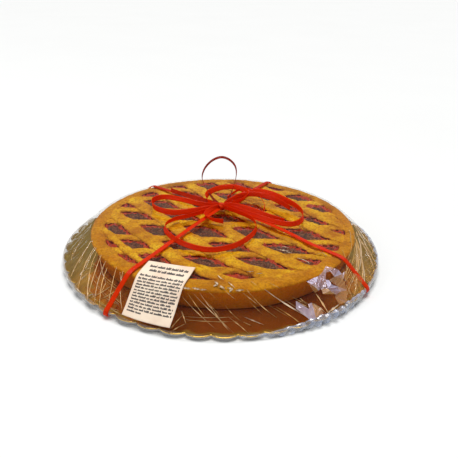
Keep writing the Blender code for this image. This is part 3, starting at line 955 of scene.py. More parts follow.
@dataclass
class Crust:
    """The baked case: a leaning wall, a broad domed rim and the floor under the jam."""

    layout: Layout
    azimuths: int = 980
    grain: Grain = field(default_factory=lambda: Grain(31))
    # Outline up the outside, over the rim and down the inside: radius and height over the base
    outline: tuple[tuple[float, float], ...] = (
        (0.1279, 0.0000), (0.1284, 0.0004), (0.1289, 0.0020), (0.1305, 0.0070), (0.1327, 0.0130),
        (0.1346, 0.0180), (0.1357, 0.0202), (0.1361, 0.0213), (0.1357, 0.0223), (0.1343, 0.0231),
        (0.1322, 0.0236), (0.1300, 0.0238), (0.1275, 0.0237), (0.1252, 0.0232), (0.1234, 0.0222),
        (0.1224, 0.0206), (0.1219, 0.0190), (0.1216, 0.0150), (0.1215, 0.0112),
    )
    rows: int = 96
    # The opening that the outline is drawn for, and how far its edge strays and swells at corners
    opening: float = 0.1218
    stray: float = 0.0011
    corner_swell: float = 0.0030
    corner_reach: float = 0.0030
    dent_height: float = 0.00035
    wave_height: float = 0.00025
    fine_height: float = 0.00012
    fine_depth: float = 0.00010

    def profile(self) -> list[Array]:
        """Even steps along the outline, each the mean of five.

        Returns:
            Two columns, the radius and the height of each step.
        """
        known = np.array(self.outline)
        steps = np.linalg.norm(np.diff(known, axis=0), axis=1)
        travelled = np.concatenate([[0.0], np.cumsum(steps)])
        stops = np.linspace(0, travelled[-1], self.rows)
        columns = []
        for values in known.T:
            column = np.interp(stops, travelled, values)
            column[2:-2] = np.convolve(column, np.ones(5) / 5, "valid")
            columns.append(column[:, None])
        return columns

    def build(self, lattice: "Lattice", material: bpy.types.Material) -> None:
        """Carry the outline round the tart, with noise that grows towards the rim's inner edge.

        Args:
            lattice: The strips, towards which the inner edge swells into rounded corners.
            material: The pastry's material.
        """
        radius, height = self.profile()
        angle = (np.arange(self.azimuths) * math.tau / self.azimuths)[None, :]
        inner = smooth_step(0.1325, 0.1235, radius) * (height > 0.015)
        upper = smooth_step(0.012, 0.0225, height)
        cos, sin = np.cos(angle), np.sin(angle)
        sway = self.grain.layers(cos * 7 + 3, sin * 7, 3)
        inner_edge = lattice.opening(angle) - 0.0012
        gap = np.clip(lattice.nearness(inner_edge * cos, inner_edge * sin), 0, None)
        shift = lattice.opening(angle) - self.opening
        swell = self.corner_swell * np.exp(-gap / self.corner_reach)
        radius = radius + inner * (self.stray * sway + shift - swell)
        dents = self.grain.layers(cos * 14 + 9, sin * 14 + 4, 3)
        height = height + upper * (self.dent_height * dents - self.dent_height)
        wave = self.grain.layers((radius * cos) * 60, (radius * sin) * 60 + height * 90, 3)
        wall = (1 - upper) * smooth_step(0.0, 0.003, height)
        radius = radius + self.wave_height * wave * wall
        fine = self.grain.layers(radius * cos * 330, radius * sin * 330 + height * 260, 3)
        height = height + self.fine_height * fine * upper
        radius = radius + self.fine_depth * fine * wall
        x, y = self.layout.tart_x + radius * cos, self.layout.tart_y + radius * sin
        points = np.stack([x, y, self.layout.tart_base + height], -1)
        # Painted shade: the wall below the rim is darkened with the toasted colour
        painted_wall_shade = 0.95 * (1 - smooth_step(0.0195, 0.0218, height))
        edge_shade = 0.20 * smooth_step(0.1330, 0.1358, radius)
        toast = np.clip(painted_wall_shade + edge_shade + 0.2 * smooth_step(0.2, 0.9, wave), 0, 1)
        low = (height < 0.0215) * (radius < 0.1262) * (height > 0.012)
        # Painted shade: a dark red band at the wall's foot, carried with the real jam stains
        foot = smooth_step(0.0016, 0.0004, height) * (radius > 0.12)
        stain = np.clip(low * 0.9 + 0.35 * inner * smooth_step(0.3, 0.9, dents) + 0.38 * foot, 0, 1)
        patch = Patch()
        patch.grid(points, ring=True, first_cap=True, last_cap=True, toast=toast, stain=stain)
        install(patch.build("crust_case", material), "crust", "crust", closed=True)


@dataclass
class Jam:
    """The filling: a wrinkled skin that dips between the strips and climbs a little beside them."""

    layout: Layout
    radius: float = 0.1272
    rings: int = 136
    azimuths: int = 690
    depth: float = 0.0076
    swell_height: float = 0.0004
    wrinkle_height: float = 0.00055
    bead_height: float = 0.00018
    # How far the jam climbs beside the strips, more in teeth, and over what distance that fades
    climb: float = 0.0008
    teeth_climb: float = 0.0022
    climb_reach: float = 0.0016
    sunk: float = 0.0003
    grain: Grain = field(default_factory=lambda: Grain(41))

    def build(self, lattice: Lattice, finish: JamFinish) -> None:
        """Raise rings of points round the middle, then go down the side and close the bottom.

        Args:
            lattice: The strips, whose sides the jam meets.
            finish: The jam's finish.
        """
        angle = (np.arange(self.azimuths) * math.tau / self.azimuths)[None, :]
        radius = np.linspace(0.0008, self.radius, self.rings)[:, None]
        x, y = radius * np.cos(angle), radius * np.sin(angle)
        gap = np.minimum(lattice.nearness(x, y), lattice.opening(angle) - 0.0006 - radius)
        clear = np.clip(gap, 0, None)
        swell = self.swell_height * self.grain.layers(x * 110, y * 110, 3)
        warp = 0.6 * self.grain.at(x * 70, y * 70)
        wrinkle = self.wrinkle_height * self.grain.ridges(x * 210, y * 210 + warp)
        bead = self.bead_height * self.grain.at(x * 900, y * 900)
        teeth = self.teeth_climb * smooth_step(0.0, 0.5, self.grain.layers(x * 340, y * 340, 2))
        beside = (self.climb + teeth) * np.exp(-clear / self.climb_reach)
        z = self.layout.jam_top - self.sunk + swell + wrinkle + bead + beside
        z = np.where(gap < -0.0006, self.layout.jam_top - 0.0004, z)
        rows = [np.stack([x, y, z], -1)]
        for share in (0.5, 1.0):
            low = np.full_like(x[-1:], self.layout.jam_top - self.sunk - share * self.depth)
            rows.append(np.stack([x[-1:], y[-1:], low], -1))
        points = np.concatenate(rows) + np.array([self.layout.tart_x, self.layout.tart_y, 0.0])
        rim = np.concatenate([np.exp(-clear / 0.0026), np.ones((2, self.azimuths))])
        patch = Patch()
        patch.grid(points, ring=True, first_cap=True, last_cap=True, rim=rim)
        install(patch.build("jam_filling", finish.make()), "jam", "jam", closed=True)


@dataclass
class Wrap:
    """The shape that the film, the label and the ribbon lie on: a flat top, a corner and a cone."""

    layout: Layout
    board: Board
    crest_radius: float = 0.1305
    corner_radius: float = 0.1364
    corner_drop: float = 0.0011

    def rings(self, offset: float) -> list[tuple[tuple[float, float], float, float, bool]]:
        """Circles that the wrap runs over, at a distance outside it.

        Args:
            offset: The distance.

        Returns:
            For each circle its centre, its radius, its height and whether the board lifts it.
        """
        out = self.layout
        corner_z = out.crest - self.corner_drop
        slope = np.array([self.corner_drop, self.corner_radius - self.crest_radius])
        skirt = np.array([corner_z - out.board_top, out.board_radius - self.corner_radius])
        slope, skirt = slope / np.linalg.norm(slope), skirt / np.linalg.norm(skirt)
        side = np.array([1.0, 0.0])
        corner = (slope + skirt) / (1 + slope @ skirt) * offset
        edge = (skirt + side) / (1 + skirt @ side) * offset
        under = out.board_bottom - offset
        tart, board = (out.tart_x, out.tart_y), (0.0, 0.0)
        return [
            (tart, self.crest_radius, out.crest + offset, False),
            (tart, self.corner_radius + corner[0], corner_z + corner[1], False),
            (board, out.board_radius + edge[0], out.board_top + edge[1], True),
            (board, out.board_radius + offset, under, True),
            (board, self.board.fold_radius, under, True),
            (board, self.board.flat_radius - 0.001, under, True),
        ]

    def ring(self, which: tuple, azimuth: Array) -> Array:
        """Points of a circle at these azimuths."""
        centre, radius, height, lifted = which
        rise = self.board.rise(radius, azimuth) if lifted else 0.0
        x, y = centre[0] + radius * np.cos(azimuth), centre[1] + radius * np.sin(azimuth)
        return np.stack([x, y, height + rise * np.ones_like(x)], -1)

    def rail(self, start: Array, heading: Array, offset: float, count: int) -> Array:
        """Where a straight line in plan meets the first circles at a distance outside.

        Args:
            start: Where the line starts, in plan.
            heading: Its direction, in plan.
            offset: The distance outside.
            count: How many circles are met.

        Returns:
            One point for each circle.
        """
        found = []
        for centre, radius, height, lifted in self.rings(offset)[:count]:
            away = start - np.array(centre)
            half = away @ heading
            reach = -half + math.sqrt(half ** 2 - away @ away + radius ** 2)
            place = start + reach * heading
            rise = self.board.rise(radius, math.atan2(place[1], place[0])) if lifted else 0.0
            found.append(np.array([place[0], place[1], height + rise]))
        return np.array(found)


def rounded_path(corners: Array, radii: list[float], step: float) -> Array:
    """Even points along straight runs whose corners are replaced by parabolas.

    Args:
        corners: The path's corner points.
        radii: How far from each inner corner its curve starts.
        step: Distance between points.

    Returns:
        The points, as an array of rows.
    """
    pieces = [corners[:1]]
    for before, corner, after, radius in zip(corners, corners[1:], corners[2:], radii):
        back, on = before - corner, after - corner
        near = corner + back / np.linalg.norm(back) * min(radius, 0.45 * np.linalg.norm(back))
        far = corner + on / np.linalg.norm(on) * min(radius, 0.45 * np.linalg.norm(on))
        t = np.linspace(0, 1, 9)[:, None]
        pieces.append((1 - t) ** 2 * near + 2 * t * (1 - t) * corner + t ** 2 * far)
    pieces.append(corners[-1:])
    return even_points(np.concatenate(pieces), step)


def even_points(points: Array, step: float) -> Array:
    """Points at even distances along a bent line."""
    travelled = np.concatenate([[0.0], np.cumsum(np.linalg.norm(np.diff(points, axis=0), axis=1))])
    stops = np.linspace(0, travelled[-1], max(3, round(travelled[-1] / step)))
    return np.column_stack([np.interp(stops, travelled, points[:, i]) for i in range(3)])


def curve_through(points: tuple, step: float) -> Array:
    """Even points along a Catmull-Rom curve.

    Args:
        points: The points that the curve runs through.
        step: Distance between the points returned.

    Returns:
        The points, as an array of rows.
    """
    known = np.array(points)
    padded = np.vstack([2 * known[0] - known[1], known, 2 * known[-1] - known[-2]])
    t = np.linspace(0.0, 1.0, 24, endpoint=False)[:, None]
    parts = []
    for a, b, c, d in zip(padded, padded[1:], padded[2:], padded[3:]):
        parts.append(0.5 * (2 * b + (c - a) * t + (2 * a - 5 * b + 4 * c - d) * t ** 2
                            + (3 * b - a - 3 * c + d) * t ** 3))
    return even_points(np.vstack(parts + [known[-1:]]), step)


def unit(vectors: Array) -> Array:
    """Rows scaled to length 1."""
    return vectors / np.linalg.norm(vectors, axis=-1, keepdims=True)


def add_band(patch: Patch, route: Array, wide: Array, width: float, thick: float,
             cup: float = 0.0, taper: Array | None = None, across: int = 7, **values: float) -> None:
    """Carry a thin flat section along a route, as ribbon runs.

    The section is a bent strip: its middle stands `cup` off the line between its sides.

    Args:
        patch: The mesh to add to.
        route: Points along the middle.
        wide: Direction of the width at each point.
        width: Width of the band.
        thick: Its thickness.
        cup: How far its middle bulges.
        taper: Share of the width at each point.
        across: Points over the width on each face.
        values: Numbers that the whole band keeps under their names.
    """
    heading = unit(np.gradient(route, axis=0))
    wide = unit(wide - heading * np.sum(wide * heading, axis=1, keepdims=True))
    thin = np.cross(heading, wide)
    share = np.linspace(-1, 1, across)
    side = np.concatenate([share, share[::-1]])
    face = np.concatenate([np.ones(across), -np.ones(across)])
    width_at = width / 2 * (np.ones(len(route)) if taper is None else taper)
    offset = face[None, :] * thick / 2 + cup * (1 - side[None, :] ** 2)
    points = (route[:, None, :] + wide[:, None, :] * (side[None, :] * width_at[:, None])[..., None]
              + thin[:, None, :] * offset[..., None])
    length = np.concatenate([[0.0], np.cumsum(np.linalg.norm(np.diff(route, axis=0), axis=1))])
    patch.grid(points, ring=True, first_cap=True, last_cap=True,
               across=np.broadcast_to(side, points.shape[:2]),
               along=np.broadcast_to(length[:, None], points.shape[:2]),
               **{name: np.full(points.shape[:2], value) for name, value in values.items()})


@dataclass
class Ribbon:
    """The ribbon tied crosswise round the parcel: four arms from the knot, which meet below."""

    wrap: Wrap
    knot: tuple[float, float] = (0.000, 0.039)
    azimuths: tuple[float, ...] = (-120.0, -43.6, 58.0, 139.0)
    bends: tuple[float, ...] = (-0.001, 0.005, 0.0, 0.0)
    # Share of painted shade on each arm, on the two arms at the back
    painted_shades: tuple[float, ...] = (0.0, 0.0, 0.30, 0.35)
    hub_lift: float = 0.0035
    width: float = 0.0049
    thick: float = 0.00030
    offset: float = 0.0012
    step: float = 0.0016
    corner_radii: tuple[float, ...] = (0.006, 0.004, 0.0018, 0.0018, 0.005, 0.005)

    def build(self, material: bpy.types.Material) -> None:
        """Sweep each arm from the knot round the edge and back under to below the knot.

        Args:
            material: The ribbon's material.
        """
        patch = Patch()
        start = np.array(self.knot)
        for number, azimuth in enumerate(math.radians(a) for a in self.azimuths):
            heading = np.array([math.cos(azimuth), math.sin(azimuth)])
            found = self.wrap.rail(start, heading, self.offset, 6)
            lift = 0.00003 * number
            first = np.array([[*start, found[0][2] + self.hub_lift]])
            last = np.array([[*start, found[-1][2] + lift]])
            corners = np.concatenate([first, found, last])
            route = rounded_path(corners, list(self.corner_radii), self.step)
            sideways = np.array([-heading[1], heading[0], 0.0])
            out = np.clip((route[:, :2] - start) @ heading / 0.12, 0, 1) * (route[:, 2] > 0.024)
            route = route + np.outer(self.bends[number] * np.sin(math.pi * out), sideways)
            wide = np.tile(sideways, (len(route), 1))
            add_band(patch, route, wide, self.width, self.thick, cup=0.00012,
                     shade=self.painted_shades[number])
        install(patch.build("tied_ribbon", material), "red_ribbon", "ribbon", closed=True)


@dataclass
class Bow:
    """The bow: a wound knot, loose loops that stand on edge, and two cut tails."""

    ribbon: Ribbon
    thick: float = 0.00032
    step: float = 0.0016
    upright: tuple[float, float, float] = (0.0, 0.0, 1.0)
    level: tuple[float, float, float] = (0.0, 1.0, 0.15)
    knot_height: float = 0.0342
    # Each strand's route from the knot, the same places as in the solids
    front_ring: tuple = (
        (0.002, 0.036, 0.0345), (0.019, 0.02, 0.035), (0.032, 0.006, 0.034), (0.0355, -0.012, 0.033),
        (0.029, -0.032, 0.0326), (0.012, -0.054, 0.0326), (-0.011, -0.0625, 0.0326),
        (-0.034, -0.052, 0.0326), (-0.051, -0.032, 0.0328), (-0.0575, -0.012, 0.033),
        (-0.05, 0.003, 0.0335), (-0.032, 0.015, 0.0335), (-0.014, 0.028, 0.034), (0, 0.039, 0.0345),
    )
    back_ring: tuple = (
        (-0.002, 0.039, 0.0345), (-0.013, 0.042, 0.036), (-0.0175, 0.056, 0.039), (-0.01, 0.069, 0.041),
        (0.004, 0.077, 0.042), (0.019, 0.076, 0.0415), (0.029, 0.064, 0.039), (0.021, 0.051, 0.0365),
        (0.004, 0.04, 0.0345),
    )
    right_loop: tuple = (
        (0.002, 0.041, 0.0345), (0.017, 0.06, 0.0365), (0.037, 0.074, 0.0385), (0.053, 0.068, 0.039),
        (0.067, 0.055, 0.038), (0.0805, 0.037, 0.0365), (0.0865, 0.02, 0.035), (0.083, 0.0035, 0.034),
        (0.072, -0.005, 0.0335), (0.056, -0.001, 0.0337), (0.034, 0.014, 0.0345), (0.014, 0.03, 0.035),
        (0.002, 0.038, 0.0345),
    )
    left_loop: tuple = (
        (-0.002, 0.037, 0.034), (-0.024, 0.039, 0.0365), (-0.044, 0.046, 0.0385), (-0.063, 0.054, 0.038),
        (-0.075, 0.052, 0.036), (-0.076, 0.041, 0.0345), (-0.068, 0.029, 0.0336), (-0.05, 0.022, 0.0334),
        (-0.028, 0.028, 0.0338), (-0.003, 0.038, 0.034),
    )
    standing_ring: tuple = (
        (-0.002, 0.04, 0.035), (-0.01, 0.054, 0.037), (-0.0165, 0.067, 0.042), (-0.0225, 0.074, 0.052),
        (-0.0205, 0.079, 0.062), (-0.0125, 0.0815, 0.0712), (-0.002, 0.082, 0.0758),
        (0.0075, 0.0805, 0.0738), (0.0145, 0.078, 0.067), (0.016, 0.074, 0.058), (0.013, 0.067, 0.047),
        (0.008, 0.054, 0.038), (0.002, 0.041, 0.035),
    )
    curl: tuple = (
        (0.006, 0.056, 0.037), (0.018, 0.073, 0.0395), (0.032, 0.08, 0.038), (0.0431, 0.0632, 0.036),
        (0.047, 0.038, 0.035), (0.0425, 0.0186, 0.034),
    )
    right_fold: tuple = (
        (0.006, 0.05, 0.0352), (0.021, 0.063, 0.0372), (0.038, 0.0655, 0.038), (0.053, 0.058, 0.0376),
        (0.065, 0.046, 0.0364), (0.074, 0.033, 0.0352),
    )
    left_tail: tuple = (
        (-0.002, 0.04, 0.0348), (-0.018, 0.05, 0.0356), (-0.036, 0.064, 0.035), (-0.052, 0.079, 0.034),
        (-0.06, 0.088, 0.0334),
    )
    long_tail: tuple = (
        (0.002, 0.04, 0.035), (0.016, 0.034, 0.037), (0.032, 0.022, 0.0375), (0.048, 0.01, 0.036),
        (0.065, 0.001, 0.034),
    )
    short_tail: tuple = (
        (-0.001, 0.038, 0.0345), (-0.012, 0.027, 0.035), (-0.017, 0.014, 0.034), (-0.01, 0.005, 0.0333),
        (0.002, 0.001, 0.033),
    )

    def strand(self, patch: Patch, points: tuple, tilt: float = 0.0, twist: float = 0.0,
               shade: float = 0.0, width: float = 1.0, level: bool = False) -> None:
        """Sweep one strand; its width leans by tilt sin(pi s) + twist sin(2 pi s) at share s.

        Args:
            patch: The mesh to add to.
            points: The strand's route.
            tilt: How far its middle leans, in radians.
            twist: How far its two halves lean opposite ways, in radians.
            shade: Share of painted shade on it.
            width: Factor on the ribbon's width.
            level: Whether its width lies level before it leans; it stands upright otherwise.
        """
        route = curve_through(points, self.step)
        heading = unit(np.gradient(route, axis=0))
        wide = np.tile(np.array(self.level if level else self.upright), (len(route), 1))
        wide = unit(wide - heading * np.sum(wide * heading, axis=1, keepdims=True))
        share = np.linspace(0, 1, len(route))[:, None]
        lean = tilt * np.sin(math.pi * share) + twist * np.sin(math.tau * share)
        wide = np.cos(lean) * wide + np.sin(lean) * np.cross(heading, wide)
        add_band(patch, route, wide, self.ribbon.width * width, self.thick, 0.0002, shade=shade)

    def knot(self, patch: Patch) -> None:
        """Three turns of ribbon wound tightly round the crossing, as squashed rings.

        Args:
            patch: The mesh to add to.
        """
        x, y = self.ribbon.knot
        turn = np.linspace(0, math.tau, 60, endpoint=False)
        turns = ((-10.0, 0.0, 0.0044), (35.0, 0.0022, 0.0040), (-55.0, -0.0024, 0.0036))
        for azimuth, shift, radius in turns:
            angle = math.radians(azimuth)
            side = np.array([-math.sin(angle), math.cos(angle), 0.0])
            flat = np.array([math.cos(angle), math.sin(angle), 0.0])
            centre = np.array([x, y, self.knot_height - 0.0006]) + side * shift
            route = (centre + np.outer(radius * 1.15 * np.cos(turn), flat)
                     + np.outer(radius * 0.75 * np.sin(turn), (0.0, 0.0, 1.0)))
            route = np.vstack([route, route[:1]])
            wide = np.tile(side, (len(route), 1))
            add_band(patch, route, wide, self.ribbon.width * 0.9, 0.0005, -0.0004)

    def build(self, material: bpy.types.Material) -> None:
        """Make the knot and every strand as one piece.

        Args:
            material: The ribbon's material.
        """
        patch = Patch()
        self.knot(patch)
        # Strands given a shade are darkened by painted shade, most of all the standing ring
        self.strand(patch, self.front_ring, 0.45, width=1.08)
        self.strand(patch, self.back_ring, -0.70, width=1.25)
        self.strand(patch, self.right_loop, twist=-0.65, width=1.15)
        self.strand(patch, self.right_fold, -0.55, shade=0.10, width=1.15)
        self.strand(patch, self.left_loop, 0.1, twist=0.60, width=1.15)
        self.strand(patch, self.standing_ring, 0.35, shade=0.92, width=0.72, level=True)
        self.strand(patch, self.curl, 0.5, width=0.7)
        self.strand(patch, self.long_tail, -0.6, width=1.1)
        self.strand(patch, self.short_tail, 0.7, width=1.1)
        self.strand(patch, self.left_tail, 0.5, shade=0.35)
        install(patch.build("ribbon_bow", material), "red_ribbon", "bow", closed=True)


@dataclass
class Label:
    """The paper label on the film, with rows of plain blocks for its print."""

    wrap: Wrap
    azimuth: float = math.radians(-106.5)
    sideways: float = -0.0175
    width: float = 0.0450
    start: float = 0.0945
    skirt_share: float = 0.89
    offset: float = 0.00105
    thick: float = 0.00014
    rails: int = 34
    rows: int = 70
    title_rows: tuple[float, ...] = (0.080, 0.150)
    text_rows: int = 12
    text_top: float = 0.245
    text_bottom: float = 0.830
    reading_slope: float = math.radians(27.0)
    bend_radii: tuple[float, float] = (0.006, 0.007)
    print_lift: float = 0.00020

    def surface(self, u: Array, v: Array, lift: float = 0.0) -> Array:
        """Point at the share u across and v down the label, curled up a little at its corners.

        Args:
            u: Share of the width, from the left.
            v: Share of the length, from the top.
            lift: Extra height over the paper.

        Returns:
            Points, as an array with three coordinates last.
        """
        rails = self.guides()
        place = np.clip(u, 0, 1) * (len(rails) - 1)
        low = np.clip(np.floor(place).astype(int), 0, len(rails) - 2)
        share = (place - low)[..., None]
        row = np.clip(v, 0, 1) * (rails.shape[1] - 1)
        near = np.clip(np.floor(row).astype(int), 0, rails.shape[1] - 2)
        part = (row - near)[..., None]
        left = rails[low, near] * (1 - part) + rails[low, near + 1] * part
        right = rails[low + 1, near] * (1 - part) + rails[low + 1, near + 1] * part
        points = left * (1 - share) + right * share
        out = unit(points * np.array([1.0, 1.0, 0.0]) + np.array([0.0, 0.0, 0.12]))
        corner = (smooth_step(0.75, 1.0, u) * smooth_step(0.80, 1.0, v) * 0.0016
                  + smooth_step(0.80, 1.0, u) * smooth_step(0.25, 0.0, v) * 0.0012
                  + smooth_step(0.2, 0.0, u) * smooth_step(0.85, 1.0, v) * 0.0006)
        wave = 0.00018 * np.sin(u * 9 + v * 4)
        return points + out * (corner + wave + lift)[..., None]

    def guides(self) -> Array:
        """Lines down the label, evenly spaced across it.

        Returns:
            The lines, each with the same number of points.
        """
        heading = np.array([math.cos(self.azimuth), math.sin(self.azimuth)])
        side = np.array([-heading[1], heading[0]])
        lines = []
        for place in np.linspace(-self.width / 2, self.width / 2, self.rails):
            start = self.start * heading + (place + self.sideways) * side
            found = self.wrap.rail(start, heading, self.offset, 3)
            end = found[1] + self.skirt_share * (found[2] - found[1])
            corners = np.array([[*start, found[0][2]], found[0], found[1], end])
            path = rounded_path(corners, list(self.bend_radii), 0.0005)
            shares = np.linspace(0, len(path) - 1, self.rows)
            lines.append(np.column_stack(
                [np.interp(shares, np.arange(len(path)), path[:, i]) for i in range(3)]))
        return np.array(lines)

    def blocks(self) -> Array:
        """Rows of plain blocks.

        The rows are wider apart on the flat part, so that they are even as read from the front:
        going out by r and down by z takes r sin(slope) + z cos(slope) there.

        Returns:
            One row for each block: its left, right, top and bottom shares of the label.
        """
        draw = np.random.default_rng(5)
        rows = [(row, 0.040, 0.12 + 0.05 * i, 0.90) for i, row in enumerate(self.title_rows)]
        for i, row in enumerate(np.linspace(self.text_top, self.text_bottom, self.text_rows)):
            rows.append((row, 0.034, 0.06, 0.95 if i % 4 else 0.88))
        rows.append((self.text_bottom + 0.053, 0.034, 0.06, 0.30))
        found = []
        for middle, height, left, right in rows:
            place = left
            while place < right:
                word = draw.integers(3, 9)
                for _ in range(word):
                    wide = draw.uniform(0.014, 0.024)
                    top = middle + height / 2 - height * draw.choice([0.66, 0.74, 1.0])
                    found.append((place, place + wide, top, middle + height / 2))
                    place += wide + 0.0030
                place += 0.018
        blocks = np.array([block for block in found if block[1] < 0.96])
        middle_line = self.guides()[self.rails // 2]
        read = (np.hypot(middle_line[:, 0], middle_line[:, 1]) * math.sin(self.reading_slope)
                - middle_line[:, 2] * math.cos(self.reading_slope))
        read = (read - read[0]) / (read[-1] - read[0])
        blocks[:, 2:] = np.interp(blocks[:, 2:], read, np.linspace(0, 1, self.rows))
        return blocks

    def build(self, paper: PaperFinish, ink: InkFinish) -> None:
        """Make the sheet and its print.

        Args:
            paper: The sheet's finish.
            ink: The print's finish.
        """
        u, v = np.meshgrid(np.linspace(0, 1, self.rails), np.linspace(0, 1, self.rows))
        patch = Patch()
        patch.grid(self.surface(u, v))
        sheet = patch.build("paper_label", paper.make())
        wall = sheet.modifiers.new("Paper", "SOLIDIFY")
        wall.thickness = self.thick
        wall.offset = 0.0
        install(sheet, "label_paper", "label")
        left, right, top, bottom = self.blocks().T
        middle = (top + bottom) / 2
        across = np.tile(np.stack([left, right, right, left], -1), (2, 1))
        down = np.concatenate([
            np.stack([bottom, bottom, middle, middle], -1), np.stack([middle, middle, top, top], -1)])
        corners = self.surface(across, down, self.print_lift)
        print_patch = Patch()
        print_patch.points.append(corners.reshape(-1, 3))
        print_patch.faces.append(np.arange(corners.shape[0] * 4).reshape(-1, 4))
        print_patch.count = corners.shape[0] * 4
        marks = print_patch.build("label_print", ink.make())
        install(marks, "label_paper")


# Creases that the photograph shows, on the front, left and right of the skirt, on the top and round
# the bunch, read off it: pixels from the left and from the top at both ends, width in
# millimetres and share of milky film
# The share of milky film in these tables also stands for painted sheen, as in the white crease lines
FRONT_CREASE_PIXELS = (
    (181.6, 296, 215.5, 329, 0.7, 0.5), (193, 293, 234, 333, 0.75, 0.5),
    (264, 289, 313, 320, 1.3, 0.8), (285, 300, 312, 319, 0.7, 0.6), (252, 296, 277, 318, 0.8, 0.6),
    (250, 302, 262, 314, 0.5, 0.4), (184, 316.5, 236, 316.8, 0.6, 0.5),
    (184, 319.5, 238, 321.5, 0.7, 0.55), (244, 317, 264, 325, 0.8, 0.7),
    (243, 322, 252, 326, 0.6, 0.6), (224, 290, 236, 300, 0.6, 0.4), (225, 305, 242, 322, 0.5, 0.35),
    (292, 297, 308, 305, 0.6, 0.6), (196, 287, 201, 291, 0.5, 0.5), (205, 300, 222, 318, 0.4, 0.3),
    (268, 305, 290, 318, 0.4, 0.35), (206, 290, 216, 299, 0.4, 0.3),
)
LEFT_CREASE_PIXELS = (
    (100, 255, 106, 283, 0.5, 0.45), (106, 283, 102, 292, 0.7, 0.6), (104, 276, 118, 287, 0.6, 0.45),
    (106, 281, 120, 291, 0.6, 0.5), (107, 288, 121, 302, 0.5, 0.5), (103, 292, 119, 304, 0.5, 0.4),
    (112, 295, 122, 304, 0.6, 0.5), (84, 271, 94, 266, 0.8, 0.6), (94, 271, 104, 287, 0.4, 0.35),
    (91, 275, 103, 291, 0.4, 0.4), (90, 262, 99, 267, 1.0, 0.35), (76, 286, 91, 271, 2.2, 0.22),
    (80, 276, 84, 270, 1.6, 0.75), (77, 288, 81, 293, 1.2, 0.8), (88, 297, 96, 294, 0.8, 0.8),
    (86, 302, 97, 305, 1.0, 0.6), (82, 280, 86, 277, 0.7, 0.7), (93, 240, 79, 263, 2.6, 0.12),
    (84, 236, 73, 256, 2.0, 0.10), (97, 248, 86, 268, 2.2, 0.16), (75, 248, 71, 262, 1.2, 0.14),
    (99, 303, 120, 311, 0.8, 0.6), (104, 297, 121, 306, 0.5, 0.5), (110, 308, 122, 315, 0.7, 0.6),
    (97, 285, 109, 301, 0.4, 0.35), (87, 284, 96, 300, 0.6, 0.25), (120, 272, 121.5, 290, 0.5, 0.35),
)
RIGHT_CREASE_PIXELS = (
    (350, 236, 346, 262, 0.6, 0.5), (357, 243, 353, 264, 0.5, 0.4), (361, 245, 356, 260, 0.5, 0.35),
    (346, 262, 344, 284, 0.5, 0.5), (350, 260, 337, 286, 0.8, 0.65), (353, 268, 338, 289, 0.7, 0.6),
    (357, 262, 345, 290, 0.6, 0.45), (350, 272, 358, 293, 0.5, 0.4), (346, 285, 352, 298, 0.6, 0.5),
    (360, 240, 371, 253, 0.9, 0.6), (366, 247, 377, 267, 0.9, 0.65), (358, 258, 366, 256, 0.7, 0.45),
    (373, 250, 364, 263, 0.6, 0.45), (345, 292, 359, 295, 0.7, 0.55),
    (352, 280, 345, 299, 0.6, 0.45), (368, 269, 376, 262, 0.7, 0.6), (369, 277, 375, 268, 0.8, 0.6),
    (352, 224, 360, 236, 0.8, 0.4), (356, 232, 368, 246, 1.6, 0.22), (349, 230, 350, 242, 0.6, 0.35),
    (342, 250, 345, 264, 0.6, 0.5), (360, 284, 366, 272, 0.8, 0.5), (350, 262, 371, 276, 0.4, 0.3),
    (346, 276, 360, 288, 0.4, 0.35),
)
# Painted glints: white flecks on the film over the top and the rim
TOP_CREASE_PIXELS = (
    (278, 249.5, 290, 251.5, 1.0, 0.9), (281, 246.5, 289, 248, 0.7, 0.8),
    (286, 252, 292, 253.5, 0.7, 0.8), (297, 258, 309, 263, 0.8, 0.7), (300, 257, 306, 258, 0.5, 0.6),
    (246, 272, 254, 271.5, 0.8, 0.8), (256, 274.2, 263, 273.2, 0.7, 0.7),
    (218, 275, 224, 280, 0.9, 0.8), (228, 282, 235, 288, 0.8, 0.75), (251, 281, 257, 286, 0.5, 0.5),
    (315, 255, 322, 253, 0.7, 0.5), (321, 252, 326, 256, 0.5, 0.4), (246, 289, 252, 296, 0.6, 0.5),
    (236, 289, 246, 290, 0.5, 0.5), (215, 285, 226, 291, 0.5, 0.4), (270, 283, 280, 289, 0.5, 0.4),
)
BUNCH_CREASE_PIXELS = (
    (316, 294, 328, 313, 1.8, 0.6), (312, 303, 326, 313.5, 1.2, 0.5),
    (339, 304, 327, 313, 1.8, 0.95), (337, 286, 346, 271, 1.5, 0.5),
    (311.5, 284.5, 318.5, 290.5, 0.9, 0.7), (330.5, 271.5, 334.5, 276.8, 0.9, 0.7),
    (334.5, 276.8, 342, 273, 0.8, 0.6), (329, 288, 338, 286.5, 1.0, 0.7),
    (329, 291, 337, 295, 1.0, 0.5), (296, 301, 313, 310, 0.8, 0.6),
    (296, 308.5, 312, 319.5, 0.9, 0.65), (308, 304, 314, 319, 0.9, 0.6),
    (300, 298, 308, 304, 0.8, 0.5),
)
PHOTO_CREASES = (*FRONT_CREASE_PIXELS, *LEFT_CREASE_PIXELS, *RIGHT_CREASE_PIXELS,
                 *TOP_CREASE_PIXELS, *BUNCH_CREASE_PIXELS)
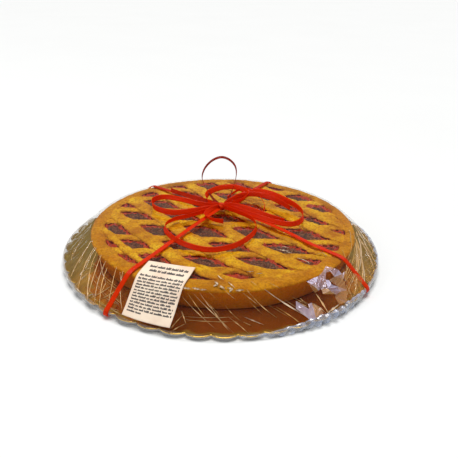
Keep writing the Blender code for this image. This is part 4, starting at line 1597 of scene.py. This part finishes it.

# Finer creases between them, placed on the film: azimuth in degrees and share down the skirt at
# both ends, width in millimetres and share of milky film and painted sheen
FINER_CREASES = (
    (350, -0.1, 330, 0.22, 0.7, 0.6), (352, 0.02, 333, 0.44, 0.7, 0.6), (348, 0.1, 329, 0.5, 0.8, 0.7),
    (345, 0, 324, 0.6, 0.7, 0.6), (341, 0.05, 321, 0.7, 0.8, 0.65), (338, 0.02, 319, 0.42, 0.6, 0.6),
    (356, 0.1, 347, 0.5, 0.9, 0.7), (358, 0.3, 349, 0.8, 0.8, 0.6), (362, 0.05, 354, 0.45, 0.9, 0.75),
    (365, 0.3, 355, 0.7, 0.7, 0.6), (336, 0.4, 326, 0.88, 0.8, 0.7), (346, -0.05, 327, 0.75, 2.8, 0.42),
    (341, 0, 321, 0.6, 2.6, 0.4), (350, 0, 338, 0.9, 2.8, 0.36), (333, 0.2, 318, 0.9, 2.4, 0.38),
    (206, -0.05, 215, 0.8, 1.5, 0.38), (210, 0, 221, 0.8, 0.8, 0.55), (214, -0.03, 223, 0.92, 1, 0.6),
    (219, 0.02, 227, 0.94, 0.8, 0.55), (222, 0.12, 230, 0.97, 1.1, 0.6),
    (226, -0.02, 233, 0.9, 0.8, 0.55), (230, 0, 238, 0.8, 0.7, 0.5), (202, 0.12, 209, 0.92, 1.3, 0.36),
    (209, 0.35, 217, 0.97, 1, 0.5), (217, 0.5, 224, 0.99, 1.2, 0.65), (229, 0.45, 224, 0.95, 1, 0.6),
    (234, 0.3, 228, 0.85, 0.9, 0.5), (257.4, 0.5, 259.6, 0.75, 0.8, 0.4),
    (259.6, 0.75, 255.6, 0.99, 0.8, 0.4), (258.4, 0.55, 255, 0.97, 0.6, 0.35),
    # Painted glints on the rim at the front: the rows from here to (262.4, 0, 264.4, -0.03)
    (266.8, -0.42, 268.2, -0.28, 1.7, 0.95), (268.2, -0.28, 266.6, -0.18, 1.5, 0.95),
    (269, -0.22, 270.8, -0.1, 1.8, 0.95), (271.5, -0.14, 273.6, -0.04, 1.8, 0.95),
    (273.6, -0.04, 272.6, 0.03, 1.4, 0.9), (274.5, -0.01, 277.5, -0.02, 1.7, 0.95),
    (255.8, -0.02, 259, 0, 1.6, 0.95), (259, -0.06, 262.4, -0.01, 1.5, 0.95),
    (262.4, 0, 264.4, -0.03, 1.3, 0.9), (258, 0.1, 265.5, 0.6, 0.7, 0.5),
    (262, 0.05, 270, 0.6, 0.6, 0.5), (266, 0.3, 273, 0.88, 0.8, 0.6), (272, 0.55, 278.5, 0.95, 0.8, 0.6),
    (277, 0.05, 282, 0.35, 0.7, 0.6), (288, 0.45, 295, 0.95, 0.9, 0.65),
)

# Corners of the bunch's facets in the photograph: pixels from the left and from the top, and the
# lift off the film in millimetres
CORNER_PIXELS = (
    (306.5, 281.5, 0.5), (312.5, 278.5, 0.5), (318, 276.5, 1.0), (323, 271.5, 0.8),
    (325.5, 266.5, 0.3), (331, 267, 0.8), (335, 268.5, 1.0), (338.5, 270, 0.6), (342, 274, 1.0),
    (334.5, 276.8, 3.2), (330.5, 271.5, 1.6), (326, 272.5, 2.2), (325.5, 279.5, 1.2),
    (316.5, 282, 3.0), (311.5, 284.5, 2.6), (318.5, 290.5, 3.4), (321, 289, 1.2), (329, 280, 1.6),
    (331.5, 284.5, 3.6), (328, 288.5, 4.0), (335, 285.5, 1.2), (339.5, 287.5, 1.0), (341, 291, 2.6),
    (336, 294.5, 3.0), (330, 291, 4.2), (323, 294, 1.5), (296, 301, 0.5), (300, 303.5, 1.8),
    (309, 309, 2.6), (313, 319.5, 1.5), (310, 320, 1.0), (296, 308.5, 2.4), (308, 304, 0.8),
    (312, 303, 1.0), (316, 318, 1.5), (321, 309, 2.6), (324, 313, 1.4), (315, 293, 0.6),
    (318.5, 303, 2.6), (329, 313, 1.0), (327, 314.5, 1.2), (339, 304, 2.2), (335, 297, 1.6),
    (345, 303, 1.0), (340, 292, 1.6), (347, 290, 0.8), (347, 301, 1.4), (343, 279, 1.5),
    (345.5, 271, 0.8), (337, 286, 2.2),
)

# The bunch's facets: three corners by number, share of milky film and painted sheen, and share of its
# second colour, a painted golden reflection of the crust and the board
FACETS = (
    (0, 1, 13, 0.45, 0.0), (0, 13, 14, 0.8, 0.0), (1, 2, 13, 0.9, 0.0), (14, 13, 15, 0.35, 0.3),
    (2, 3, 15, 0.35, 0.2), (2, 15, 13, 0.3, 0.0), (3, 12, 16, 0.3, 0.3), (3, 16, 15, 0.25, 0.3),
    (3, 4, 11, 0.45, 0.0), (3, 11, 12, 0.35, 0.2), (4, 5, 10, 0.4, 0.0), (4, 10, 11, 0.3, 0.2),
    (5, 6, 10, 0.25, 0.3), (6, 9, 10, 0.4, 0.2), (6, 7, 9, 0.3, 0.2), (7, 8, 9, 0.55, 0.0),
    (12, 17, 18, 0.8, 0.0), (12, 18, 19, 0.9, 0.0), (12, 19, 16, 0.25, 0.5), (18, 20, 19, 0.5, 0.0),
    (19, 20, 21, 0.6, 0.0), (19, 21, 24, 0.25, 0.2), (24, 21, 22, 0.35, 0.1),
    (24, 22, 23, 0.3, 0.3), (16, 19, 24, 0.6, 1.0), (16, 24, 25, 0.5, 0.9),
    (25, 24, 23, 0.6, 1.0), (26, 27, 28, 0.5, 0.1), (26, 28, 31, 0.45, 0.1), (31, 28, 30, 0.5, 0.1),
    (28, 29, 30, 0.5, 0.1), (32, 33, 34, 0.5, 0.1), (32, 34, 29, 0.45, 0.1),
    (28, 32, 29, 0.35, 0.2), (33, 35, 34, 0.4, 1.0), (35, 36, 34, 0.4, 0.8),
    (42, 44, 45, 0.45, 0.9), (42, 45, 46, 0.4, 0.9), (42, 46, 43, 0.45, 0.7),
    (42, 43, 41, 0.4, 0.9), (14, 15, 37, 0.35, 1.0), (0, 14, 37, 0.22, 1.0),
    (8, 48, 47, 0.5, 0.3), (8, 47, 9, 0.35, 0.7), (9, 47, 49, 0.3, 0.9), (17, 9, 49, 0.25, 0.9),
    (49, 47, 45, 0.3, 0.9), (49, 45, 44, 0.45, 0.5), (23, 22, 42, 0.4, 0.9),
    (22, 44, 42, 0.5, 0.4),
)


@dataclass(frozen=True)
class View:
    """Where the photograph was taken from, and the pixel that each point falls on."""

    elevation: float = math.radians(26.692)
    distance: float = 0.600
    focus_in_pixels: float = 564.297
    frame_in_pixels: float = 458.0
    aim: tuple[float, float, float] = (0.005942, 0.0, 0.017924)
    middle: tuple[float, float] = (0.002, 0.006)
    board_top: float = 0.004
    roll: float = math.radians(0.891)

    def axes(self) -> tuple[Array, Array, Array, Array]:
        """Where the camera stands and how it is turned.

        Returns:
            Its place and its forward, right and up directions.
        """
        middle = np.array([*self.middle, self.board_top])
        back = np.array([0.0, -math.cos(self.elevation), math.sin(self.elevation)])
        place = middle + self.distance * back
        forward = unit(middle + np.array(self.aim) - place)
        right = unit(np.cross(forward, (0.0, 0.0, 1.0)))
        up = np.cross(right, forward)
        cos, sin = math.cos(self.roll), math.sin(self.roll)
        return place, forward, right * cos + up * sin, up * cos - right * sin

    def pixels(self, points: Array) -> Array:
        """The photograph's pixels that points fall on.

        Args:
            points: Array with three coordinates last.

        Returns:
            Pixels from the left and from the top, last in the array.
        """
        place, forward, right, up = self.axes()
        away = points - place
        scale = self.focus_in_pixels / (away @ forward)
        half = self.frame_in_pixels / 2
        return np.stack([half + scale * (away @ right), half - scale * (away @ up)], -1)


@dataclass
class Film:
    """The clear film: a skin over the top and the skirt, creases, a faceted gather and a hem."""

    wrap: Wrap
    view: View
    offset: float = 0.0005
    azimuths: int = 640
    # Folds down the skirt: how many round it in each of three sets, their height and the swell's
    fold_counts: tuple[int, int, int] = (39, 91, 207)
    fold_height: float = 0.0011
    swell_height: float = 0.0012
    sag_height: float = 0.00020
    # How far the film runs over the top for each 1 of share below 0
    top_reach: float = 0.030
    # The border: its first and last azimuth, its thickness, and height, middle and width of swells
    hem_span: tuple[float, float] = (-84.0, 24.0)
    hem_thickness: float = 0.0006
    hem_swells: tuple[tuple[float, float, float], ...] = ((0.0024, -54.0, 17.0), (0.0009, 2.0, 18.0))
    grain: Grain = field(default_factory=lambda: Grain(51))

    def looseness(self, azimuth: Array) -> Array:
        """How slack the skirt is: taut at the front, soft folds at the left, crumpled at the right."""
        right, left = lobe(azimuth, 338, 26), lobe(azimuth, 190, 38)
        return 0.10 + 0.55 * left + 1.1 * right + 0.4 * lobe(azimuth, 80, 55)

    def stations(self, azimuth: Array) -> tuple[Array, Array, Array]:
        """Rings from the middle of the top down the skirt and in under the board.

        Args:
            azimuth: Azimuth of each column, in radians.

        Returns:
            The points, each ring's share of the way down the skirt, and 1 for the rings on top.
        """
        rings = self.wrap.rings(self.offset)
        marks = [self.wrap.ring(ring, azimuth) for ring in rings]
        centre = np.zeros_like(marks[0])
        centre[:] = (*rings[0][0], rings[0][2])
        stretches = ((centre, marks[0], 34), (marks[0], marks[1], 5), (marks[1], marks[2], 46),
                     (marks[2], marks[3], 5), (marks[3], marks[4], 8), (marks[4], marks[5], 3))
        rows, down, flat = [], [], []
        for number, (first, last, count) in enumerate(stretches):
            for share in np.linspace(0, 1, count, endpoint=False):
                if number == 0:
                    share = 0.03 + 0.97 * share
                rows.append(first + share * (last - first))
                down.append(share if number == 2 else (1.0 if number > 2 else 0.0))
                flat.append(1.0 if number == 0 else 0.0)
        return np.array(rows), np.array(down)[:, None], np.array(flat)[:, None]

    def golden(self, azimuth: Array, down: Array) -> Array:
        """Share of painted golden reflection of the gold board and the crust, laid on as milky film, in
        streaks at the front left and right and faint between.

        Args:
            azimuth: Azimuth in radians.
            down: Share of the way down the skirt.

        Returns:
            The share at each place.
        """
        streaks = 0.5 + 0.5 * self.grain.layers(azimuth * 60, down * 5 + azimuth * 40, 3)
        streaks = np.clip(streaks, 0, 1)
        golden = (0.42 * lobe(azimuth, 224, 13) * smooth_step(0.15, 0.5, down) * streaks
                  + 0.05 * lobe(azimuth, 275, 34) * smooth_step(0.35, 0.6, down)
                  + 0.50 * lobe(azimuth, 325, 12) * smooth_step(0.1, 0.4, down) * streaks)
        return golden * smooth_step(1.0, 0.95, down)

    def skin(self) -> Patch:
        """Push the skirt in and out by folds that run down it.

        The push is a sum of triangle waves in azimuth, bent by noise, times the slackness there.

        Returns:
            The skin, with the values `haze` and `warm`.
        """
        azimuth = (np.arange(self.azimuths) * math.tau / self.azimuths)[None, :]
        points, down, flat = self.stations(azimuth[0])
        skirt = np.sin(math.pi * np.clip(down, 0, 1)) * (down < 1)
        slack = self.looseness(azimuth)
        bend = azimuth + 0.05 * self.grain.at(azimuth * 9, down * 2.5)
        sharp = np.clip(slack - 0.6, 0.0, 0.6)
        broad, middling, narrow = self.fold_counts
        folds = (0.9 * triangle_wave(bend * broad / math.tau + 0.6 * down)
                 + 0.6 * triangle_wave(bend * middling / math.tau - 0.9 * down)
                 + sharp * triangle_wave(bend * narrow / math.tau + 1.3 * down))
        soft = self.grain.layers(azimuth * 14, down * 3 + 5, 3)
        push = skirt * slack * (self.fold_height * folds + self.swell_height * soft)
        x, y = points[..., 0], points[..., 1]
        out = unit(np.stack([np.cos(azimuth) * np.ones_like(x), np.sin(azimuth) * np.ones_like(x),
                             np.full_like(x, 0.9)], -1))
        points = points + out * push[..., None]
        sag = self.sag_height * self.grain.layers(x * 55, y * 55, 2) - 0.0001
        points[..., 2] += flat * sag
        # Milky film along the board's edge, more at the left and right; the 0.12 all round is painted
        # sheen that pales the gold lip
        side = np.cos(azimuth) ** 6
        haze = 0.02 * slack * skirt + (0.42 * side + 0.12) * (down > 0.955) * (down < 1.01)
        # Painted reflection of the gold board and the crust, as golden streaks in the film
        golden = self.golden(azimuth, down)
        patch = Patch()
        patch.grid(points, ring=True, first_cap=True, haze=np.clip(haze + golden, 0, 0.5),
                   warm=golden / (haze + golden + 0.001))
        return patch

    def on_film(self, azimuth: Array, share: Array, lift: Array | float = 0.0) -> Array:
        """Point on the film at an azimuth and a share of the way down the skirt.

        Args:
            azimuth: Azimuth round the tart, in radians.
            share: 0 at the corner and 1 at the board's edge; below 0 it runs over the top.
            lift: Distance outwards from the film.

        Returns:
            Points, as an array with three coordinates last.
        """
        rings = self.wrap.rings(self.offset)
        top, edge = self.wrap.ring(rings[1], azimuth), self.wrap.ring(rings[2], azimuth)
        cos, sin = np.cos(azimuth), np.sin(azimuth)
        inwards = np.clip(share, None, 0.0) * self.top_reach
        drop = rings[0][2] - rings[1][2]
        rise = np.clip(-inwards / (rings[1][1] - rings[0][1]), 0.0, 1.0) * drop
        point = top + np.clip(share, 0.0, None)[..., None] * (edge - top)
        point = point + np.stack([cos * inwards, sin * inwards, rise], -1)
        out = unit(np.stack([cos, sin, np.ones_like(cos)], -1))
        return point + out * (np.zeros_like(cos) + lift)[..., None]

    def seen_at(self, pixels: Array, lift: Array) -> Array:
        """Places on the film's near side that fall on these pixels of the photograph.

        A net over the near side is searched first, and smaller nets round the best place after it.

        Args:
            pixels: One row for each place, from the left and from the top.
            lift: How far off the film each place is.

        Returns:
            One row for each place: azimuth in degrees and share down the skirt.
        """
        net = np.stack(np.meshgrid(np.arange(186, 370, 0.5), np.arange(-2.2, 1.14, 0.02)), -1)
        net = net.reshape(-1, 2)
        seen = self.view.pixels(self.on_film(np.radians(net[:, 0]), net[:, 1]))
        best = np.array([net[np.argmin(np.linalg.norm(seen - pixel, axis=-1))] for pixel in pixels])
        window = np.stack(np.meshgrid(np.linspace(-1, 1, 9), np.linspace(-1, 1, 9)), -1).reshape(-1, 2)
        reach = np.array([3.0, 0.3])
        for _ in range(6):
            tries = best[:, None, :] + window * reach
            points = self.on_film(np.radians(tries[..., 0]), tries[..., 1], lift[:, None])
            miss = np.linalg.norm(self.view.pixels(points) - pixels[:, None, :], axis=-1)
            best = tries[np.arange(len(best)), np.argmin(miss, axis=1)]
            reach = reach / 3
        return best

    def creases(self) -> Array:
        """All creases, those read off the photograph first.

        Returns:
            One row for each: azimuth in degrees and share down the skirt at both ends, width in
            millimetres and share of milky film and painted sheen.
        """
        read = np.array(PHOTO_CREASES)
        flat = np.zeros(len(read))
        starts, ends = self.seen_at(read[:, 0:2], flat), self.seen_at(read[:, 2:4], flat)
        return np.concatenate([np.hstack([starts, ends, read[:, 4:]]), np.array(FINER_CREASES)])

    def pleats(self) -> Patch:
        """Creases in the film: thin raised pleats between two places, tapering to both ends.

        Returns:
            The pleats, with the values `haze` and `warm`.
        """
        patch = Patch()
        draw = np.random.default_rng(52)
        steps = 28
        share = np.linspace(0, 1, steps)
        for first, high, last, low, width, haze in self.creases():
            bend = draw.uniform(-0.5, 0.5) * np.sin(math.pi * share)
            azimuth = np.radians(first + (last - first) * share + bend)
            down = np.clip(high + (low - high) * share, None, 1.0)
            ridge = 0.0003 + 0.0004 * np.sin(math.pi * share)
            route = self.on_film(azimuth, down, ridge) + draw.normal(0, 0.00003, (steps, 3))
            outward = np.stack([np.cos(azimuth), np.sin(azimuth), np.ones_like(azimuth)], -1)
            wide = np.cross(unit(np.gradient(route, axis=0)), outward)
            taper = np.clip(np.sin(math.pi * share) ** 0.7, 0.08, 1) * (
                1 + 0.30 * np.sin(share * draw.uniform(14, 22)))
            # Painted highlight: the creases' milky share grows towards the front
            milk_and_painted_sheen = min(0.95 * haze + 0.25 * float(lobe(azimuth[steps // 2], 275, 22)), 0.95)
            warm = draw.uniform(0.75, 1.0) * (1.0 if haze < 0.68 else 0.5)
            add_band(patch, route, wide, 0.80 * width * MM, 0.00022, cup=0.0002 + 0.0002 * width,
                     taper=taper, across=5, haze=milk_and_painted_sheen, warm=warm)
        return patch

    def gather(self) -> Patch:
        """The bunch at the front right: flat facets between folded corners, with gaps between.

        Each facet is a triangle of small triangles, lifted by fine crumples.

        Returns:
            The facets, with the values `haze` and `warm`.
        """
        known = np.array(CORNER_PIXELS)
        found = self.seen_at(known[:, :2], known[:, 2] * MM)
        places = self.on_film(np.radians(found[:, 0]), found[:, 1], known[:, 2] * MM)
        steps = 5
        i, j = np.meshgrid(np.arange(steps + 1), np.arange(steps + 1), indexing="ij")
        inside = i + j <= steps
        number = np.cumsum(inside.ravel()).reshape(inside.shape) - 1
        first, second = i[inside] / steps, j[inside] / steps
        weights = np.stack([1 - first - second, first, second], -1)
        up = (i + j < steps)
        upper = np.stack([number[up], number[i[up] + 1, j[up]], number[i[up], j[up] + 1]], -1)
        down = (i + j < steps - 1)
        lower = np.stack([number[i[down] + 1, j[down]], number[i[down] + 1, j[down] + 1],
                          number[i[down], j[down] + 1]], -1)
        small = np.concatenate([upper, lower])
        patch = Patch()
        count = len(weights)
        for name in ("haze", "warm"):
            patch.values[name] = []
        for a, b, c, haze, warm in FACETS:
            points = weights @ places[[a, b, c]]
            points[:, 2] += 0.00035 * crumple(points[:, 0], points[:, 1], 0.0022, 54, 4)
            patch.points.append(points)
            patch.faces.append(small + patch.count)
            shimmer = 0.5 + 0.5 * self.grain.at(points[:, 0] * 500, points[:, 1] * 500)
            patch.values["haze"].append(np.clip(haze * (0.75 + 0.5 * shimmer), 0, 1))
            patch.values["warm"].append(np.full(count, float(warm)))
            patch.count += count
        return patch

    def hem(self) -> Patch:
        """The film's bunched border along the board's edge, thickest at the front right.

        A half tube is carried along the edge, its radius times 1 + 0.75 of a crumple.

        Returns:
            The border, with the value `haze`.
        """
        columns, rows = 900, 9
        first, last = self.hem_span
        degrees = np.linspace(first, last, columns)
        azimuth = np.radians(degrees)[None, :]
        turn = np.linspace(-0.5, 1.0, rows)[:, None] * math.pi
        thick = self.hem_thickness
        for size, middle, width in self.hem_swells:
            thick = thick + size * np.exp(-(((degrees - middle) / width) ** 2))
        thick = thick * smooth_step(first, first + 12, degrees) * smooth_step(last, last - 12, degrees)
        layout = self.wrap.layout
        along = azimuth * layout.board_radius
        folds = crumple(along, turn * 0.002, 0.0046, 56, 6)
        swell = thick[None, :] * (1 + 0.75 * folds)
        radius = layout.board_radius - 0.0008 + swell * np.cos(turn) * 0.9
        middle = (layout.board_top + layout.board_bottom) / 2 + 0.0004
        lifted = self.wrap.board.rise(layout.board_radius, azimuth)
        height = middle + (0.0013 + swell) * np.sin(turn) + lifted
        x, y = radius * np.cos(azimuth), radius * np.sin(azimuth)
        points = np.stack([x, y, np.maximum(height, 0.0008)], -1)
        patch = Patch()
        patch.grid(points, haze=np.clip(0.25 + 0.35 * folds, 0.08, 0.6))
        return patch

    def build(self) -> None:
        """Make the four pieces of film; the skin stands for the solid."""
        skin = self.skin().build("film_skin", FilmFinish("clear_film", warm="#E69C34").make())
        sharpen(skin, 22)
        install(skin, "clear_film", "film")
        # Painted highlight: the creases' nearly white milky colour, on real milky folds
        crease_finish = FilmFinish(
            "film_crease", milk_and_painted_sheen="#FFF8EA", warm="#F8BC64", gloss=0.06, roughness=0.15, upright=0.75,
            shine=0.15)
        install(self.pleats().build("film_creases", crease_finish.make()), "clear_film")
        # Painted reflection: the bunch's lavender milky colour and its golden second colour
        gather_finish = FilmFinish(
            "film_gather", tint="#EDE8FF", milk_and_painted_sheen="#C9BCD4", warm="#DC9A30", gloss=0.08,
            roughness=0.12, ripple_strength=0.2, upright=0.35)
        gather = self.gather().build("film_gather", gather_finish.make())
        sharpen(gather, 6)
        install(gather, "clear_film")
        # Milky film with painted reflection: the border's bluish white
        hem_finish = FilmFinish(
            "film_hem", milk_and_painted_sheen="#CCD8F6", warm="#FFE8B8", gloss=0.12, roughness=0.10, upright=0.25)
        hem = self.hem().build("film_hem", hem_finish.make())
        sharpen(hem, 20)
        install(hem, "clear_film")


@dataclass
class Studio:
    """The pale floor, the soft lights and the camera that match the photograph's view."""

    view: View
    sensor: float = 36.0
    floor_size: float = 16.0
    sky: tuple[float, float, float, float] = (0.95, 0.97, 1.0, 1.0)
    sky_strength: float = 0.33
    # The broad far light: where it stands from the back towards the right, how high and how wide
    overhead_azimuth: float = math.radians(8.0)
    overhead_elevation: float = math.radians(74.0)
    overhead_width: float = math.radians(36.0)
    overhead_power: float = 2.50
    left_place: tuple[float, float, float] = (-1.4, -0.5, 0.9)
    left_size: tuple[float, float] = (0.8, 0.6)
    left_power: float = 3.0
    left_colour: tuple[float, float, float] = (0.97, 0.98, 1.0)

    def camera(self) -> None:
        """Place the camera at the measured distance, height and roll."""
        place, forward, right, up = self.view.axes()
        data = bpy.data.cameras.new("camera")
        data.sensor_width = self.sensor
        data.lens = self.view.focus_in_pixels / self.view.frame_in_pixels * self.sensor
        data.clip_start = 0.01
        data.clip_end = 60.0
        camera = bpy.data.objects.new("camera", data)
        turn = Matrix(np.stack([right, up, -forward]).tolist()).transposed().to_4x4()
        camera.matrix_world = Matrix.Translation(place.tolist()) @ turn
        bpy.context.scene.collection.objects.link(camera)
        bpy.context.scene.camera = camera

    def light(self, name: str, kind: str, place: Vector, **settings: object) -> None:
        """Put a light at a place, facing the parcel.

        Args:
            name: The light's name.
            kind: Blender's name for its kind.
            place: Where it stands; of a far light only the direction counts.
            settings: Attributes of the light.
        """
        data = bpy.data.lights.new(name, kind)
        for key, value in settings.items():
            setattr(data, key, value)
        lamp = bpy.data.objects.new(name, data)
        lamp.location = place
        lamp.rotation_euler = (-place).to_track_quat("-Z", "Y").to_euler()
        bpy.context.scene.collection.objects.link(lamp)

    def build(self, floor: FloorFinish) -> None:
        """Make the floor, the world and the lights.

        Args:
            floor: The floor's finish.
        """
        patch = Patch()
        half = self.floor_size / 2
        x, y = np.meshgrid(np.linspace(-half, half, 9), np.linspace(-half, half, 9))
        patch.grid(np.stack([x, y, np.zeros_like(x)], -1))
        ground = patch.build("floor", floor.make())
        world = bpy.data.worlds.new("studio")
        world.use_nodes = True
        back = world.node_tree.nodes["Background"]
        back.inputs["Color"].default_value = self.sky
        back.inputs["Strength"].default_value = self.sky_strength
        bpy.context.scene.world = world
        level, up = math.cos(self.overhead_elevation), math.sin(self.overhead_elevation)
        across, back = math.sin(self.overhead_azimuth), math.cos(self.overhead_azimuth)
        self.light("overhead", "SUN", Vector((level * across, level * back, up)),
                   angle=self.overhead_width, energy=self.overhead_power)
        width, height = self.left_size
        self.light("left", "AREA", Vector(self.left_place), shape="RECTANGLE", size=width,
                   size_y=height, energy=self.left_power, color=self.left_colour)
        bpy.context.scene.view_settings.view_transform = "Standard"


def main() -> None:
    """Build the studio and every piece."""
    logging.basicConfig(level=logging.INFO, format="%(message)s")
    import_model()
    layout = Layout.read()
    view = View(board_top=layout.board_top)
    studio = Studio(view)
    studio.camera()
    board = Board(layout)
    board.build(BoardFinish())
    lattice = Lattice(layout)
    Crust(layout).build(lattice, PastryFinish("crust", "#E8A210", "#D48A06", "#B26A02").make())
    lattice.build(PastryFinish("lattice_pastry", "#FFCA1C", "#EAA60C", "#BE7000").make())
    Jam(layout).build(lattice, JamFinish())
    wrap = Wrap(layout, board)
    red = RibbonFinish().make()
    ribbon = Ribbon(wrap)
    ribbon.build(red)
    Bow(ribbon).build(red)
    Label(wrap).build(PaperFinish(), InkFinish())
    Film(wrap, view).build()
    studio.build(FloorFinish())


if __name__ == "__main__":
    main()
